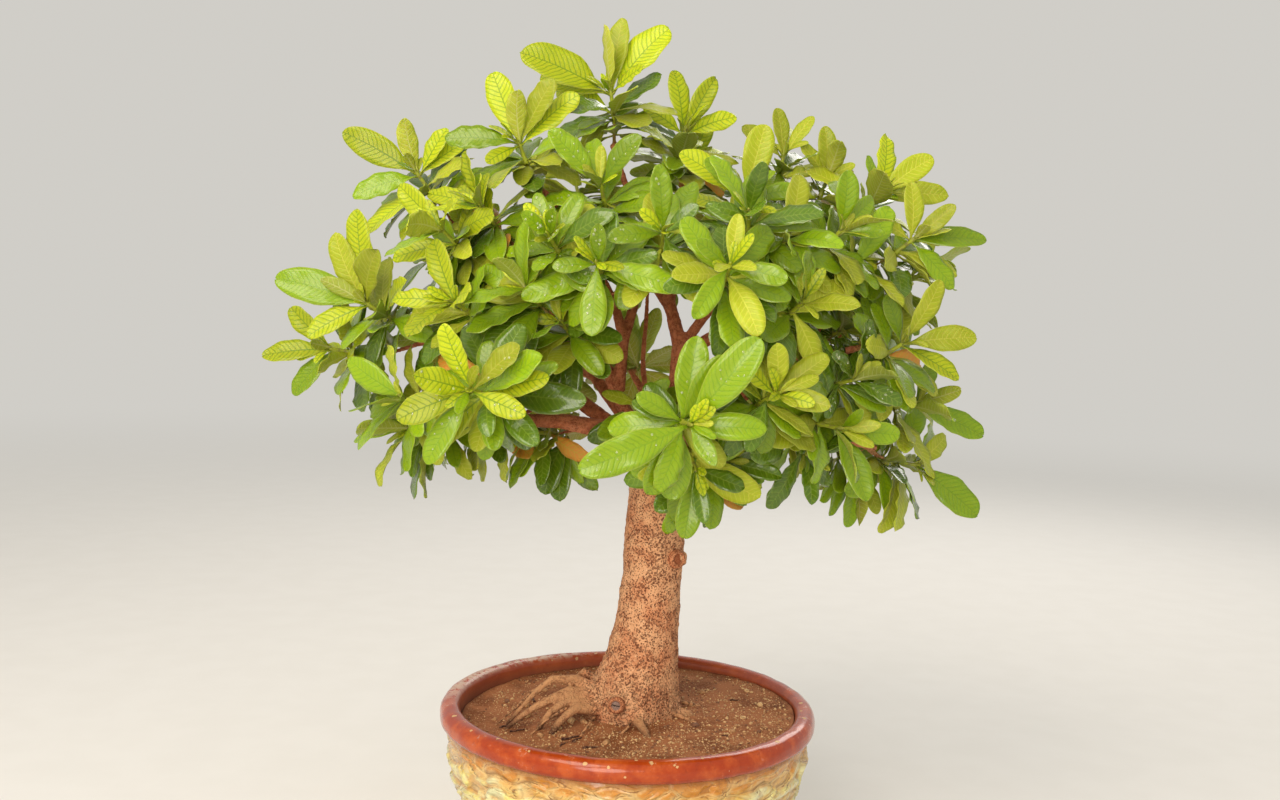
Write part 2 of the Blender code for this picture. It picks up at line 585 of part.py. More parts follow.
def gap_between(a, b, c, d):
    """Smallest distance between the stretches a to b and c to d."""
    near = geometry.intersect_line_line(a, b, c, d)
    if near:
        first = (near[0] - a).dot(b - a) / (b - a).length_squared
        second = (near[1] - c).dot(d - c) / (d - c).length_squared
        if 0 <= first <= 1 and 0 <= second <= 1:
            return (near[0] - near[1]).length
    return min(distance_to(a, c, d), distance_to(b, c, d), distance_to(c, a, b), distance_to(d, a, b))


def loft(rings):
    """A closed bmesh through rings of points that all run the same way round, capped at both ends."""
    bm = bmesh.new()
    loops = [[bm.verts.new(point) for point in ring] for ring in rings]
    for lower, upper in zip(loops, loops[1:]):
        for index in range(len(lower)):
            after = (index + 1) % len(lower)
            bm.faces.new((lower[index], lower[after], upper[after], upper[index]))
    bm.faces.new(loops[0][::-1])
    bm.faces.new(loops[-1])
    bmesh.ops.recalc_face_normals(bm, faces=bm.faces)
    return bm


def tube_rings(points, radii, sides, last_axis=None, last_across=None):
    """Rings of a round tube. Its frame is carried back from the far end, which can match a shoot's stem."""
    rings = []
    across = last_across
    for index in reversed(range(len(points))):
        if index == len(points) - 1 and last_axis is not None:
            along = last_axis
        else:
            along = (points[min(index + 1, len(points) - 1)] - points[max(index - 1, 0)]).normalized()
        across = across if across is not None else along.orthogonal()
        across = (across - along * across.dot(along)).normalized()
        sideways = along.cross(across)
        ring = []
        for corner in range(sides):
            angle = 2 * math.pi * (corner - 0.5) / sides
            way = across * math.cos(angle) + sideways * math.sin(angle)
            ring.append(points[index] + way * radii[index])
        rings.append(ring)
    return rings[::-1]


def trunk_swell(angle, share):
    """How the trunk's outline swells and narrows round its axis, more at the root flare than above."""
    flare = max(0.0, 1 - share * FLARE_FALL)
    waves = sum(height * math.sin(lobes * angle + start) for height, lobes, start in TRUNK_WAVES)
    return 1 + (WAVES_ABOVE_FLARE + (1 - WAVES_ABOVE_FLARE) * flare) * waves


def trunk_rings(grow=0.0):
    rings = []
    for row, (height, x, y, radius) in enumerate(TRUNK):
        share = row / (len(TRUNK) - 1)
        drop = grow if row == 0 else 0
        ring = []
        for side in range(TRUNK_SIDES):
            angle = 2 * math.pi * side / TRUNK_SIDES
            reach = radius * MM * trunk_swell(angle, share) + grow
            out = Vector((math.cos(angle), math.sin(angle), 0)) * reach
            ring.append(Vector((x, y, height)) * MM + out - UP * drop)
        rings.append(ring)
    return rings


def tapered(route, thick, thin):
    points = in_metres(route)
    last = len(points) - 1
    return points, [(thick + (thin - thick) * index / last) * MM for index in range(last + 1)]


def root_rings(name, grow=0.0):
    route, thick, thin = ROOTS[name]
    points, radii = tapered(route, thick, thin)
    ends = (points[1] - points[0]).normalized(), (points[-1] - points[-2]).normalized()
    points[0] = points[0] - ends[0] * grow
    points[-1] = points[-1] + ends[1] * grow * 1.5
    return tube_rings(points, [radius + grow for radius in radii], TWIG_SIDES)


def knot(place, radius):
    bm = bmesh.new()
    place = Matrix.Translation(Vector(place) * MM)
    bmesh.ops.create_icosphere(bm, subdivisions=1, radius=radius * MM, matrix=place)
    return bm


def material(name, colour, roughness, coat=0.0):
    made = bpy.data.materials.new(name)
    made.use_nodes = True
    shader = made.node_tree.nodes["Principled BSDF"]
    shader.inputs["Base Color"].default_value = (*colour, 1)
    shader.inputs["Roughness"].default_value = roughness
    shader.inputs["Coat Weight"].default_value = coat
    made.diffuse_color = (*colour, 1)
    return made


def new_object(name, bm, finish, collection=None):
    mesh = bpy.data.meshes.new(name)
    bm.to_mesh(mesh)
    bm.free()
    mesh.materials.append(finish)
    mesh.shade_smooth()
    mesh.set_sharp_from_angle(angle=SHARP_ANGLE)
    made = bpy.data.objects.new(name, mesh)
    (collection or bpy.context.scene.collection).objects.link(made)
    return made


def apply_boolean(target, operation, other, solver="MANIFOLD"):
    """Joins to, or cuts from, target a whole collection or one object, then removes what it used."""
    modifier = target.modifiers.new("shape", "BOOLEAN")
    modifier.operation, modifier.solver = operation, solver
    used = list(other.objects) if isinstance(other, bpy.types.Collection) else [other]
    if isinstance(other, bpy.types.Collection):
        modifier.operand_type, modifier.collection = "COLLECTION", other
    else:
        modifier.object = other
    bpy.context.view_layer.update()
    graph = bpy.context.evaluated_depsgraph_get()
    mesh = bpy.data.meshes.new_from_object(target.evaluated_get(graph))
    target.modifiers.clear()
    target.data = mesh
    mesh.shade_smooth()
    mesh.set_sharp_from_angle(angle=SHARP_ANGLE)
    for helper in used:
        bpy.data.objects.remove(helper)
    if isinstance(other, bpy.types.Collection):
        bpy.data.collections.remove(other)


def make_bowl(clay):
    """Turned bowl with a rolled rim and three drain holes."""
    bm = bmesh.new()
    outline = BOWL_OUTLINE + BOWL_INSIDE + ((0, FLOOR_THICKNESS / MM),)
    points = [bm.verts.new((radius * MM, 0, height * MM)) for radius, height in outline]
    edges = [bm.edges.new(pair) for pair in zip(points, points[1:])]
    bmesh.ops.spin(
        bm, geom=points + edges, cent=(0, 0, 0), axis=UP, angle=2 * math.pi, steps=BOWL_SIDES, use_merge=True,
    )
    bmesh.ops.remove_doubles(bm, verts=bm.verts, dist=1e-6)
    bmesh.ops.recalc_face_normals(bm, faces=bm.faces)
    bowl = new_object("bowl", bm, clay)
    cutters = bpy.data.collections.new("drain_holes")
    bpy.context.scene.collection.children.link(cutters)
    for index in range(3):
        angle = 2 * math.pi * (index + 0.25) / 3
        place = Vector((math.cos(angle), math.sin(angle), 0)) * DRAIN_DISTANCE + UP * FLOOR_THICKNESS / 2
        hole = bmesh.new()
        bmesh.ops.create_cone(
            hole, cap_ends=True, segments=8, radius1=DRAIN_RADIUS, radius2=DRAIN_RADIUS,
            depth=FLOOR_THICKNESS * 2, matrix=Matrix.Translation(place),
        )
        new_object(f"drain_hole_{index}", hole, clay, cutters)
    apply_boolean(bowl, "DIFFERENCE", cutters, "EXACT")


def soil_height(x, y):
    """The top of the soil, which is higher on the right and round the trunk."""
    reach = math.hypot(x, y)
    mound = MOUND_HEIGHT * math.exp(-((reach / MOUND_REACH) ** 2))
    ripple = RIPPLE_HEIGHT * math.sin(x * 60 + 1) * math.cos(y * 50)
    return SOIL_LEVEL + SOIL_SLOPE * x + mound + ripple


def make_soil(earth):
    """Fills the bowl up to its level, with plain holes where the trunk and the roots stand in it."""
    wall = [(radius * MM - TOUCH_GAP, height * MM) for radius, height in reversed(BOWL_INSIDE[1:])]
    rings = []
    for radius, height in wall:
        ring = []
        for side in range(BOWL_SIDES):
            angle = 2 * math.pi * side / BOWL_SIDES
            ring.append(Vector((radius * math.cos(angle), radius * math.sin(angle), height + TOUCH_GAP)))
        rings.append(ring)
    for share in SOIL_RINGS:
        ring = []
        for side in range(BOWL_SIDES):
            angle = 2 * math.pi * side / BOWL_SIDES
            x, y = (wall[-1][0] * share * way(angle) for way in (math.cos, math.sin))
            ring.append(Vector((x, y, soil_height(x, y))))
        rings.append(ring)
    soil = new_object("soil", loft(rings), earth)
    cutters = bpy.data.collections.new("planting_holes")
    bpy.context.scene.collection.children.link(cutters)
    new_object("trunk_hole", loft(trunk_rings(TOUCH_GAP)), earth, cutters)
    for name in ROOTS:
        new_object(f"hole_{name}", loft(root_rings(name, TOUCH_GAP)), earth, cutters)
    apply_boolean(soil, "DIFFERENCE", cutters, "EXACT")


def make_wood(shoots, bark):
    """Trunk, roots, limbs and twigs as one solid. Returns the tree of triangles that the leaves avoid."""
    pieces = [loft(root_rings(name)) for name in ROOTS]
    pieces += [knot(place, radius) for place, radius in KNOTS]
    for route, thick, thin in LIMBS.values():
        pieces.append(loft(tube_rings(*tapered(route, thick, thin), LIMB_SIDES)))
    twigs = Branching(shoots).twigs
    pieces += [loft(tube_rings(*twigs[shoot.name], TWIG_SIDES, shoot.axis, shoot.across)) for shoot in shoots]
    parts = bpy.data.collections.new("wood_parts")
    bpy.context.scene.collection.children.link(parts)
    for index, piece in enumerate(pieces):
        new_object(f"wood_part_{index}", piece, bark, parts)
    wood = new_object("wood", loft(trunk_rings()), bark)
    apply_boolean(wood, "UNION", parts)
    bm = bmesh.new()
    bm.from_mesh(wood.data)
    tree = BVHTree.FromBMesh(bm)
    bm.free()
    return tree


def make_shoot(shoot, finishes):
    """The stem, its leaves and its bud as one closed mesh. A facet that carries a leaf is replaced by it."""
    bm = bmesh.new()
    loops = [[bm.verts.new(point) for point in loop] for loop in shoot.stem_loops()]
    bud = bm.verts.new(shoot.bud_tip())
    bm.faces.new(loops[0][::-1])
    ring_of_level = {1: 0, **{level: level - 2 for level in range(3, len(loops) - 1)}}
    for level, (lower, upper) in enumerate(zip(loops, loops[1:])):
        for n in range(TWIG_SIDES):
            after = (n + 1) % TWIG_SIDES
            leaf = shoot.leaves.get((ring_of_level.get(level), n))
            if leaf is None:
                bm.faces.new((lower[n], lower[after], upper[after], upper[n]))
                continue
            points = [bm.verts.new(point) for point in blade_points(leaf, BLADE_THICKNESS / 2)]
            rows = [(upper[n], upper[after], lower[n], lower[after])]
            rows += [points[4 * row:4 * row + 4] for row in range(len(BLADE_STATIONS))]
            for face in blade_faces(rows, points[-2:]):
                bm.faces.new(face)
    for n in range(TWIG_SIDES):
        bm.faces.new((loops[-1][n], loops[-1][(n + 1) % TWIG_SIDES], bud))
    finish = finishes[0 if shoot.age < YOUNG_BELOW else 1 if shoot.age < OLD_FROM else 2]
    new_object(f"shoot_{shoot.name}", bm, finish)


def main():
    for old in list(bpy.data.objects):
        bpy.data.objects.remove(old)
    clay = material("glazed_clay", (0.50, 0.36, 0.13), 0.35, 0.5)
    earth = material("red_soil", (0.15, 0.07, 0.035), 0.95)
    bark = material("pustular_bark", (0.36, 0.15, 0.07), 0.85)
    finishes = [
        material("young_leaf", (0.42, 0.50, 0.03), 0.4, 0.2),
        material("mature_leaf", (0.20, 0.36, 0.03), 0.35, 0.3),
        material("old_leaf", (0.06, 0.20, 0.03), 0.25, 0.5),
    ]
    shoots = [Shoot(name, *facts) for name, facts in SHOOTS.items()]
    crowd = Crowd(make_wood(shoots, bark), shoots)
    for shoot in shoots:
        shoot.grow_leaves(crowd)
    make_bowl(clay)
    make_soil(earth)
    for shoot in shoots:
        make_shoot(shoot, finishes)
    return shoots


main()
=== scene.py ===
"""Looks of the bonsai in its bowl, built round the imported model.

Every CAD solid is replaced by a finer piece that keeps its place and form. The leaves are read back from the
packed shoots, so a change to the CAD model carries through.
"""

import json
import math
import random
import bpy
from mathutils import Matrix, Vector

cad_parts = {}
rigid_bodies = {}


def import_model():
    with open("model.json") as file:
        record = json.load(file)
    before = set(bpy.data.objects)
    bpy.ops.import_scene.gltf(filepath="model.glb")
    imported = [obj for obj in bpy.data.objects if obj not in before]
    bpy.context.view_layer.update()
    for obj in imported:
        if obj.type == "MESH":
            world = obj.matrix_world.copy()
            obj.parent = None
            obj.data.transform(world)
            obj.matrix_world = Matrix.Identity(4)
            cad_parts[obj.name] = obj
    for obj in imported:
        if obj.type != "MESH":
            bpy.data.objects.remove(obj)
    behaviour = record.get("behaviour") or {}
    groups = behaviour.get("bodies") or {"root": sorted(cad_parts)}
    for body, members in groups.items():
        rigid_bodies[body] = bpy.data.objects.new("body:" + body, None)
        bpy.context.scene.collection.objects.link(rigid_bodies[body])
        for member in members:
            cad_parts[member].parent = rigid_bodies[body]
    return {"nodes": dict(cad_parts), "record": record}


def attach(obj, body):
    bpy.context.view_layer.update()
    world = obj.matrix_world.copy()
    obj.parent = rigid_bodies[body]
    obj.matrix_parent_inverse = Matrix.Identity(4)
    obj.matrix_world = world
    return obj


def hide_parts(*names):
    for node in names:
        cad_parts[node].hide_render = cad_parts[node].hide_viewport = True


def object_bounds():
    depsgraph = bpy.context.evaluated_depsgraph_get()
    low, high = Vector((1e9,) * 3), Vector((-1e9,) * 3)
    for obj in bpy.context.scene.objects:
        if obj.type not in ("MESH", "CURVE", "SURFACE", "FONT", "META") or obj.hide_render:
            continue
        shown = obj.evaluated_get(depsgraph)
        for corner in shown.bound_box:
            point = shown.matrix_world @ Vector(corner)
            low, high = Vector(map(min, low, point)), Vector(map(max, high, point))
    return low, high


bl_info = {
    "name": "Bonsai in a glazed bowl",
    "version": (1, 0, 0),
    "blender": (4, 5, 0),
    "location": "3D View > Sidebar > Bonsai",
    "description": "Dresses the packed bonsai with leaves, bark, soil and glaze, in a pale studio",
    "category": "Object",
}

from functools import partial

import bmesh
import bpy
import numpy as np
from bpy.props import FloatProperty, FloatVectorProperty, IntProperty, PointerProperty
from mathutils import Matrix, Vector, noise
from mathutils.bvhtree import BVHTree
from mathutils.kdtree import KDTree

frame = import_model()
CAD_BOX = [list(corner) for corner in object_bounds()]

MM = 0.001
UP = Vector((0, 0, 1))
WELD = 0.00001
SLOTS = {part["node"]: part["material_slot"] for part in frame["record"]["subparts"]}
SHOOTS = sorted(node for node in frame["nodes"] if node.startswith("shoot_"))
CROWN_HEART = Vector((15, 0, 455)) * MM

# The CAD blades: how thick they are, where along them their foot, two stations and tip lie, and how much of a
# leaf's width the stations show
CAD_BLADE = 0.00075
STATIONS = (0.0, 0.53, 0.84, 1.0)
STATION_WIDTH = 0.96

# Where along a leaf its middle lies, and where its outline is taken to tell if it crosses another. A leaf
# that looks for room leaves out its stalk, which stands close to its neighbours
LEAF_MIDDLE = 0.55
OUTLINE_AT = (0.06, 0.3, 0.53, 0.8, 0.97)
ROOM_AT = (0.15, 0.3, 0.53, 0.8, 0.97)

# An added leaf: how far inside the CAD box its tip keeps, how thick its stem is and from where on it turns
# to the back, in metres, how far it rolls, in radians, and how often it is about to drop
BOX_CLEARANCE = 0.002
STEM_RADIUS = 0.0014
BACK_FROM = 0.09
MOST_ROLL = 1.4
SPENT_CHANCE = 0.035

# Seen from the front, no added leaf covers these stretches, as x and z in mm at the trunk: the opening in the
# crown's heart, the fork of the limbs below it, and the low limbs on both sides. Leaves further back than
# OPEN_DEPTH may
LOOK_FROM = Vector((0, -1250, 554)) * MM
OPEN_VIEWS = (((-8, 46), (474, 556)), ((-36, 60), (448, 560)), ((-116, 0), (430, 466)), ((4, 60), (396, 440)))
OPEN_DEPTH = 0.03

# The photo's focal length as a share of its width, and the width of the camera's sensor in mm
FOCAL_SHARE, SENSOR_WIDTH = 1345 / 1280, 36


def linear(code):
    """An sRGB hex colour as the linear values that a shader takes."""
    parts = (int(code[place:place + 2], 16) / 255 for place in (1, 3, 5))
    return [part / 12.92 if part <= 0.04045 else ((part + 0.055) / 1.055) ** 2.4 for part in parts]


def colour(label, code, note):
    """A colour in the settings, from its hex value."""
    return FloatVectorProperty(
        name=label, description=note, subtype="COLOR", size=3, min=0, max=1, default=linear(code),
    )


class BONSAI_PG_leaves(bpy.types.PropertyGroup):
    """Sizes and colours of the leaves."""

    rows: IntProperty(name="Rows", description="Faces along a leaf", default=16, min=6, max=30)
    columns: IntProperty(name="Columns", description="Faces across a leaf", default=6, min=4, max=12)
    small_rows: IntProperty(
        name="Small rows", description="Faces along an added leaf", default=10, min=4, max=30,
    )
    blade: FloatProperty(
        name="Blade", description="Thickness of the blade at its margin", default=0.00045, unit="LENGTH",
    )
    inner_leaves: IntProperty(
        name="Inner leaves", description="Older leaves that each twig carries below its shoot",
        default=18, min=0,
    )
    bud_leaves: IntProperty(
        name="Bud leaves", description="Half-grown leaves round each bud", default=5, min=0,
    )
    rib_spacing: FloatProperty(
        name="Side veins", description="Distance between side veins, in mm", default=5.0, min=1,
    )
    net: FloatProperty(name="Net", description="Width of a mesh of the vein net, in mm", default=2.3, min=0.5)
    lime: colour("Lime", "#b5be18", "Blade of a young leaf that shows its veins")
    lime_vein: colour("Dark vein", "#71900f", "Veins of a young leaf")
    olive: colour("Olive", "#9ca61e", "Blade of a young leaf that is even in colour")
    olive_vein: colour("Pale vein", "#cccb52", "Veins of an even young leaf")
    green: colour("Green", "#85a012", "Blade of a grown leaf")
    green_vein: colour("Green vein", "#608a10", "Veins of a grown leaf")
    dark: colour("Dark green", "#56740e", "Blade of an old leaf")
    dark_vein: colour("Old vein", "#8ea634", "Veins of an old leaf")
    spent: colour("Orange", "#d08c34", "Blade of a leaf about to drop")
    spent_vein: colour("Spent vein", "#b5b03a", "Veins of a leaf about to drop")


class BONSAI_PG_bark(bpy.types.PropertyGroup):
    """Sizes and colours of the wood."""

    voxel: FloatProperty(
        name="Fineness", description="Size of the wood's mesh", default=0.00175, unit="LENGTH",
    )
    pit: FloatProperty(name="Pits", description="Distance between bark pits, in mm", default=2.8, min=1)
    tan: colour("Tan", "#e3a97b", "Corky skin of the trunk")
    rose: colour("Rose brown", "#d08b60", "Warmer patches of the trunk")
    pit_brown: colour("Pit", "#66301a", "Bottom of the pits")
    limb: colour("Limb", "#cb7b54", "Reddish skin of the limbs")
    limb_dark: colour("Limb shade", "#a65a3a", "Cracks and spots of the limbs")
    twig: colour("Twig", "#8d8b3c", "Green skin of the youngest twigs")
    root: colour("Root", "#c08c60", "Dry skin of the surface roots")


class BONSAI_PG_bowl(bpy.types.PropertyGroup):
    """Sizes and colours of the bowl."""

    steps: IntProperty(name="Steps", description="Faces round the bowl", default=420, min=48)
    relief: FloatProperty(
        name="Relief", description="Depth of the rock-like relief", default=0.0062, unit="LENGTH",
    )
    rim: colour("Rim", "#a0370b", "Iron-red glaze of the rim")
    rim_light: colour("Rim wash", "#b8501a", "Thin, worn glaze of the rim")
    chip: colour("Chip", "#d9b27a", "Bare clay where the glaze is chipped")
    cream: colour("Cream", "#e8d878", "Cream glaze of the body")
    ochre: colour("Ochre", "#cd8524", "Ochre glaze under the rim and in the hollows")
    # The crack colour is partly dark glaze and partly painted shade in the cracks.
    crack: colour("Crack", "#7a4c1a", "Dark glaze in the deepest cracks")


class BONSAI_PG_soil(bpy.types.PropertyGroup):
    """Sizes and colours of the soil."""

    grains: IntProperty(name="Grains", description="Loose grains on the soil", default=5200, min=0)
    earth: colour("Earth", "#9c623c", "Dry soil")
    damp: colour("Damp", "#74401f", "Damp soil")
    grit: colour("Grit", "#e2bd8a", "Pale grains of grit")


class BONSAI_PG_stage(bpy.types.PropertyGroup):
    """Camera, light and floor."""

    lens: FloatProperty(name="Lens", description="Focal length in mm", default=FOCAL_SHARE * SENSOR_WIDTH)
    pitch: FloatProperty(
        name="Pitch", description="How far the camera looks down", default=math.radians(4.62),
        subtype="ANGLE",
    )
    roll: FloatProperty(
        name="Roll", description="How far the camera leans", default=math.radians(1.956), subtype="ANGLE",
    )
    floor: colour("Floor", "#e6e4e0", "Pale studio floor")
    sky: FloatProperty(name="Sky", description="Strength of the even light", default=0.7, min=0)
    key: FloatProperty(name="Key", description="Power of the large lamp in W", default=23.5, min=0)
    fill: FloatProperty(name="Fill", description="Power of the front lamp in W", default=32, min=0)


class BONSAI_PG_all(bpy.types.PropertyGroup):
    """All settings of the bonsai."""

    leaves: PointerProperty(type=BONSAI_PG_leaves)
    bark: PointerProperty(type=BONSAI_PG_bark)
    bowl: PointerProperty(type=BONSAI_PG_bowl)
    soil: PointerProperty(type=BONSAI_PG_soil)
    stage: PointerProperty(type=BONSAI_PG_stage)


def smooth(low, high, value):
    """0 below low, 1 above high, and a soft step between."""
    share = max(0.0, min(1.0, (value - low) / (high - low)))
    return share * share * (3 - 2 * share)


def noise_vector(place, *shifts):
    """Smooth noise at this place raised by each shift, as one vector."""
    return Vector([noise.noise(place + UP * shift) for shift in shifts])


def merged_copy(node):
    """A CAD node as one bmesh with its loose triangles joined."""
    bm = bmesh.new()
    bm.from_mesh(frame["nodes"][node].data)
    bmesh.ops.remove_doubles(bm, verts=bm.verts, dist=WELD)
    bm.verts.index_update()
    bm.edges.index_update()
    return bm


def new_piece(name, bm, materials, stands_for=()):
    """A shown piece that rides with the tree, carries the given finishes and stands for CAD nodes."""
    mesh = bpy.data.meshes.new(name)
    bm.to_mesh(mesh)
    bm.free()
    for finish in materials:
        mesh.materials.append(finish)
    mesh.shade_smooth()
    piece = bpy.data.objects.new(name, mesh)
    bpy.context.scene.collection.objects.link(piece)
    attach(piece, "root")
    if stands_for:
        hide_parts(*stands_for)
    return piece


def turn_outline(bm, outline, steps, centre=(0, 0, 0), axis=UP):
    """Turns a line of points round an axis into a closed skin."""
    verts = [bm.verts.new(point) for point in outline]
    edges = [bm.edges.new(pair) for pair in zip(verts, verts[1:])]
    bmesh.ops.spin(
        bm, geom=verts + edges, cent=centre, axis=axis, angle=2 * math.pi, steps=steps, use_merge=True,
    )


def weld(bm):
    """Merges doubles and turns the faces outwards."""
    bmesh.ops.remove_doubles(bm, verts=bm.verts, dist=WELD)
    bmesh.ops.recalc_face_normals(bm, faces=bm.faces)


# Settings that every node of a kind has here: a range is a soft step, and a mix is one of colours. The second
# word of a node's kind is its mode, which these settings hold
USUAL_SETTINGS = {"MapRange": {"interpolation_type": "SMOOTHSTEP"}, "Mix": {"data_type": "RGBA"}}
MODES = {"Math": "operation", "VectorMath": "operation", "Mix": "blend_type", "TexVoronoi": "feature"}


def plug(socket, value):
    """Links an output to this input, or sets it to a value, or leaves it as it is where the value is None."""
    if isinstance(value, bpy.types.NodeSocket):
        socket.id_data.links.new(value, socket)
    elif value is not None:
        socket.default_value = (*value, 1) if socket.type == "RGBA" else value


def add_node(tree, kind, *values, gives=None, **settings):
    """Adds a shader node, such as "Math ADD", plugs the values into its open inputs and returns an output."""
    kind, _, mode = kind.partition(" ")
    made = tree.nodes.new("ShaderNode" + kind)
    if mode:
        setattr(made, MODES[kind], mode)
    for name, value in {**USUAL_SETTINGS.get(kind, {}), **settings}.items():
        setattr(made, name, value)
    for socket, value in zip([socket for socket in made.inputs if socket.enabled], values):
        plug(socket, value)
    if gives is None:
        gives = next(index for index, socket in enumerate(made.outputs) if socket.enabled)
    return made.outputs[gives]


def object_mm(add):
    """The place on the object in mm, so that every pattern's scale is one over a real size."""
    return add("VectorMath SCALE", add("TexCoord", gives="Object"), 1000.0)


def new_finish(name, roughness, coat=0.0, coat_roughness=0.1, specular=0.5):
    """A material with fixed values on its shader. Returns it, what adds a node to it, and the shader."""
    finish = bpy.data.materials.new(name)
    finish.use_nodes = True
    shader = finish.node_tree.nodes["Principled BSDF"]
    fixed = (roughness, coat, coat_roughness, specular)
    for socket, value in zip(("Roughness", "Coat Weight", "Coat Roughness", "Specular IOR Level"), fixed):
        plug(shader.inputs[socket], value)
    return finish, partial(add_node, finish.node_tree), shader


# How each kind of leaf looks: its two colours in the settings, how much its veins, its net and the green
# beside the veins show, how rough it is, and how much wax coats it
LEAF_KINDS = {
    "veined_young_blade": ("lime", 0.85, 0.22, 0.5, 0.4, 0.12),
    "even_young_blade": ("olive", 0.4, 0.1, 0.15, 0.42, 0.08),
    "grown_blade": ("green", 0.4, 0.18, 0.25, 0.3, 0.35),
    "old_blade": ("dark", 0.35, 0.12, 0.2, 0.24, 0.6),
    "spent_blade": ("spent", 0.45, 0.2, 0.2, 0.45, 0.1),
}
UNDERSIDE = linear("#b0b04a")


def blade_finish(name, settings):
    """Living leaf, waxy above and matt below, with a midrib, arched side veins, a net and uneven green."""
    tone, veins, net, halo, roughness, coat = LEAF_KINDS[name]
    blade, vein = getattr(settings, tone), getattr(settings, tone + "_vein")
    finish, add, shader = new_finish(name, roughness, coat, 0.15, specular=0.25)
    place = add("Attribute", attribute_name="blade", gives="Vector")
    across, along, under = add("SeparateXYZ", place).node.outputs
    size = add("Attribute", attribute_name="blade_mm", gives="Vector")
    x, y, own = add("SeparateXYZ", size).node.outputs
    shifted = add("Math MULTIPLY", own, 500.0)
    on_leaf = add("CombineXYZ", x, y, shifted)
    aside = add("Math ABSOLUTE", x)
    margin = add("Math ABSOLUTE", across)

    rib_width = add("Math MULTIPLY_ADD", along, -0.62, 0.85)
    midrib = add("MapRange", add("Math SUBTRACT", aside, rib_width), -0.25, 0.3, 1.0, 0.0)
    wobble = add("Math MULTIPLY", add("TexNoise", on_leaf, 0.1, 2.0), 4.5)
    slope = add("Math MULTIPLY", add("Math POWER", aside, 1.3), 0.4)
    line = add("Math SUBTRACT", add("Math ADD", y, wobble), slope)
    other_side = add("Math MULTIPLY", add("Math GREATER_THAN", x, 0.0), settings.rib_spacing * 0.45)
    line = add("Math ADD", line, other_side)
    from_vein = add("Math PINGPONG", line, settings.rib_spacing / 2)
    thin = add("Math MULTIPLY_ADD", margin, -0.24, 0.34)
    side_vein = add("MapRange", add("Math SUBTRACT", from_vein, thin), -0.12, 0.22, 0.95, 0.0)
    beside = add("MapRange", from_vein, 0.2, settings.rib_spacing * 0.32, 1.0, 0.0)
    stretched = add("CombineXYZ", x, line, shifted)
    # The net is drawn a little coarser than the real one, so that it shows
    mesh_edge = add("TexVoronoi DISTANCE_TO_EDGE", stretched, 1 / settings.net)
    mesh_line = add("MapRange", mesh_edge, 0.03, 0.13, 1.0, 0.0)
    mesh_line = add("Math MULTIPLY", mesh_line, net)
    drawn = add("Math MAXIMUM", add("Math MAXIMUM", midrib, side_vein), mesh_line)

    patches = add("TexNoise", on_leaf, 0.07, 3.0, 0.6)
    deep = add("Math MULTIPLY", beside, halo)
    deep = add("Math ADD", deep, add("MapRange", patches, 0.45, 0.75, 0.0, 0.35))
    greener = add("Mix", 0.55, blade, vein)
    skin = add("Mix", deep, blade, greener)
    skin = add("Mix", add("Math MULTIPLY", drawn, veins), skin, vein)
    bright = add("Math MULTIPLY_ADD", own, 0.5, 0.76)
    tinted = add("CombineColor", bright, bright, bright)
    skin = add("Mix MULTIPLY", 1.0, skin, tinted)
    pale_edge = add("MapRange", margin, 0.9, 1.0, 0.0, 0.35)
    skin = add("Mix", pale_edge, skin, add("Mix", 0.5, blade, linear("#e6e08a")))
    below = add("Mix", 0.5, blade, UNDERSIDE)
    below = add("Mix", add("Math MULTIPLY", drawn, 0.45), below, linear("#d5d694"))
    skin = add("Mix", under, skin, below)
    plug(shader.inputs["Base Color"], skin)

    wax = add("TexNoise", on_leaf, 0.35, 2.0)
    worn = add("Math MULTIPLY_ADD", wax, 0.18, roughness - 0.09)
    plug(shader.inputs["Roughness"], add("Math MULTIPLY_ADD", under, 0.25, worn))
    plug(shader.inputs["Subsurface Weight"], 0.2)
    plug(shader.inputs["Subsurface Radius"], (0.5, 1.0, 0.15))
    plug(shader.inputs["Subsurface Scale"], 0.0012)
    sunk = add("Math MULTIPLY", drawn, -0.6)
    quilt = add("Math MULTIPLY_ADD", beside, -0.4, sunk)
    plug(shader.inputs["Normal"], add("Bump", 0.7, 0.3 * MM, None, add("Math MULTIPLY_ADD", wax, 0.4, quilt)))
    return finish


def stem_finish(settings):
    """Green young stem, smooth and slightly waxy, with brownish patches."""
    finish, add, shader = new_finish("green_stem", 0.5, 0.1)
    spots = add("TexNoise", object_mm(add), 1 / 3.5, 3.0)
    skin = add("Mix", add("MapRange", spots, 0.4, 0.7), settings.olive, linear("#7d7a32"))
    plug(shader.inputs["Base Color"], skin)
    plug(shader.inputs["Normal"], add("Bump", 1.0, 0.3 * MM, None, spots))
    return finish


def pushed_through(points, share):
    """The point at this share of a leaf's length on the curve through its foot, stations and tip."""
    total = Vector()
    for own, point in zip(STATIONS, points):
        weight = 1.0
        for other in STATIONS:
            if other != own:
                weight *= (share - other) / (own - other)
        total += point * weight
    return total


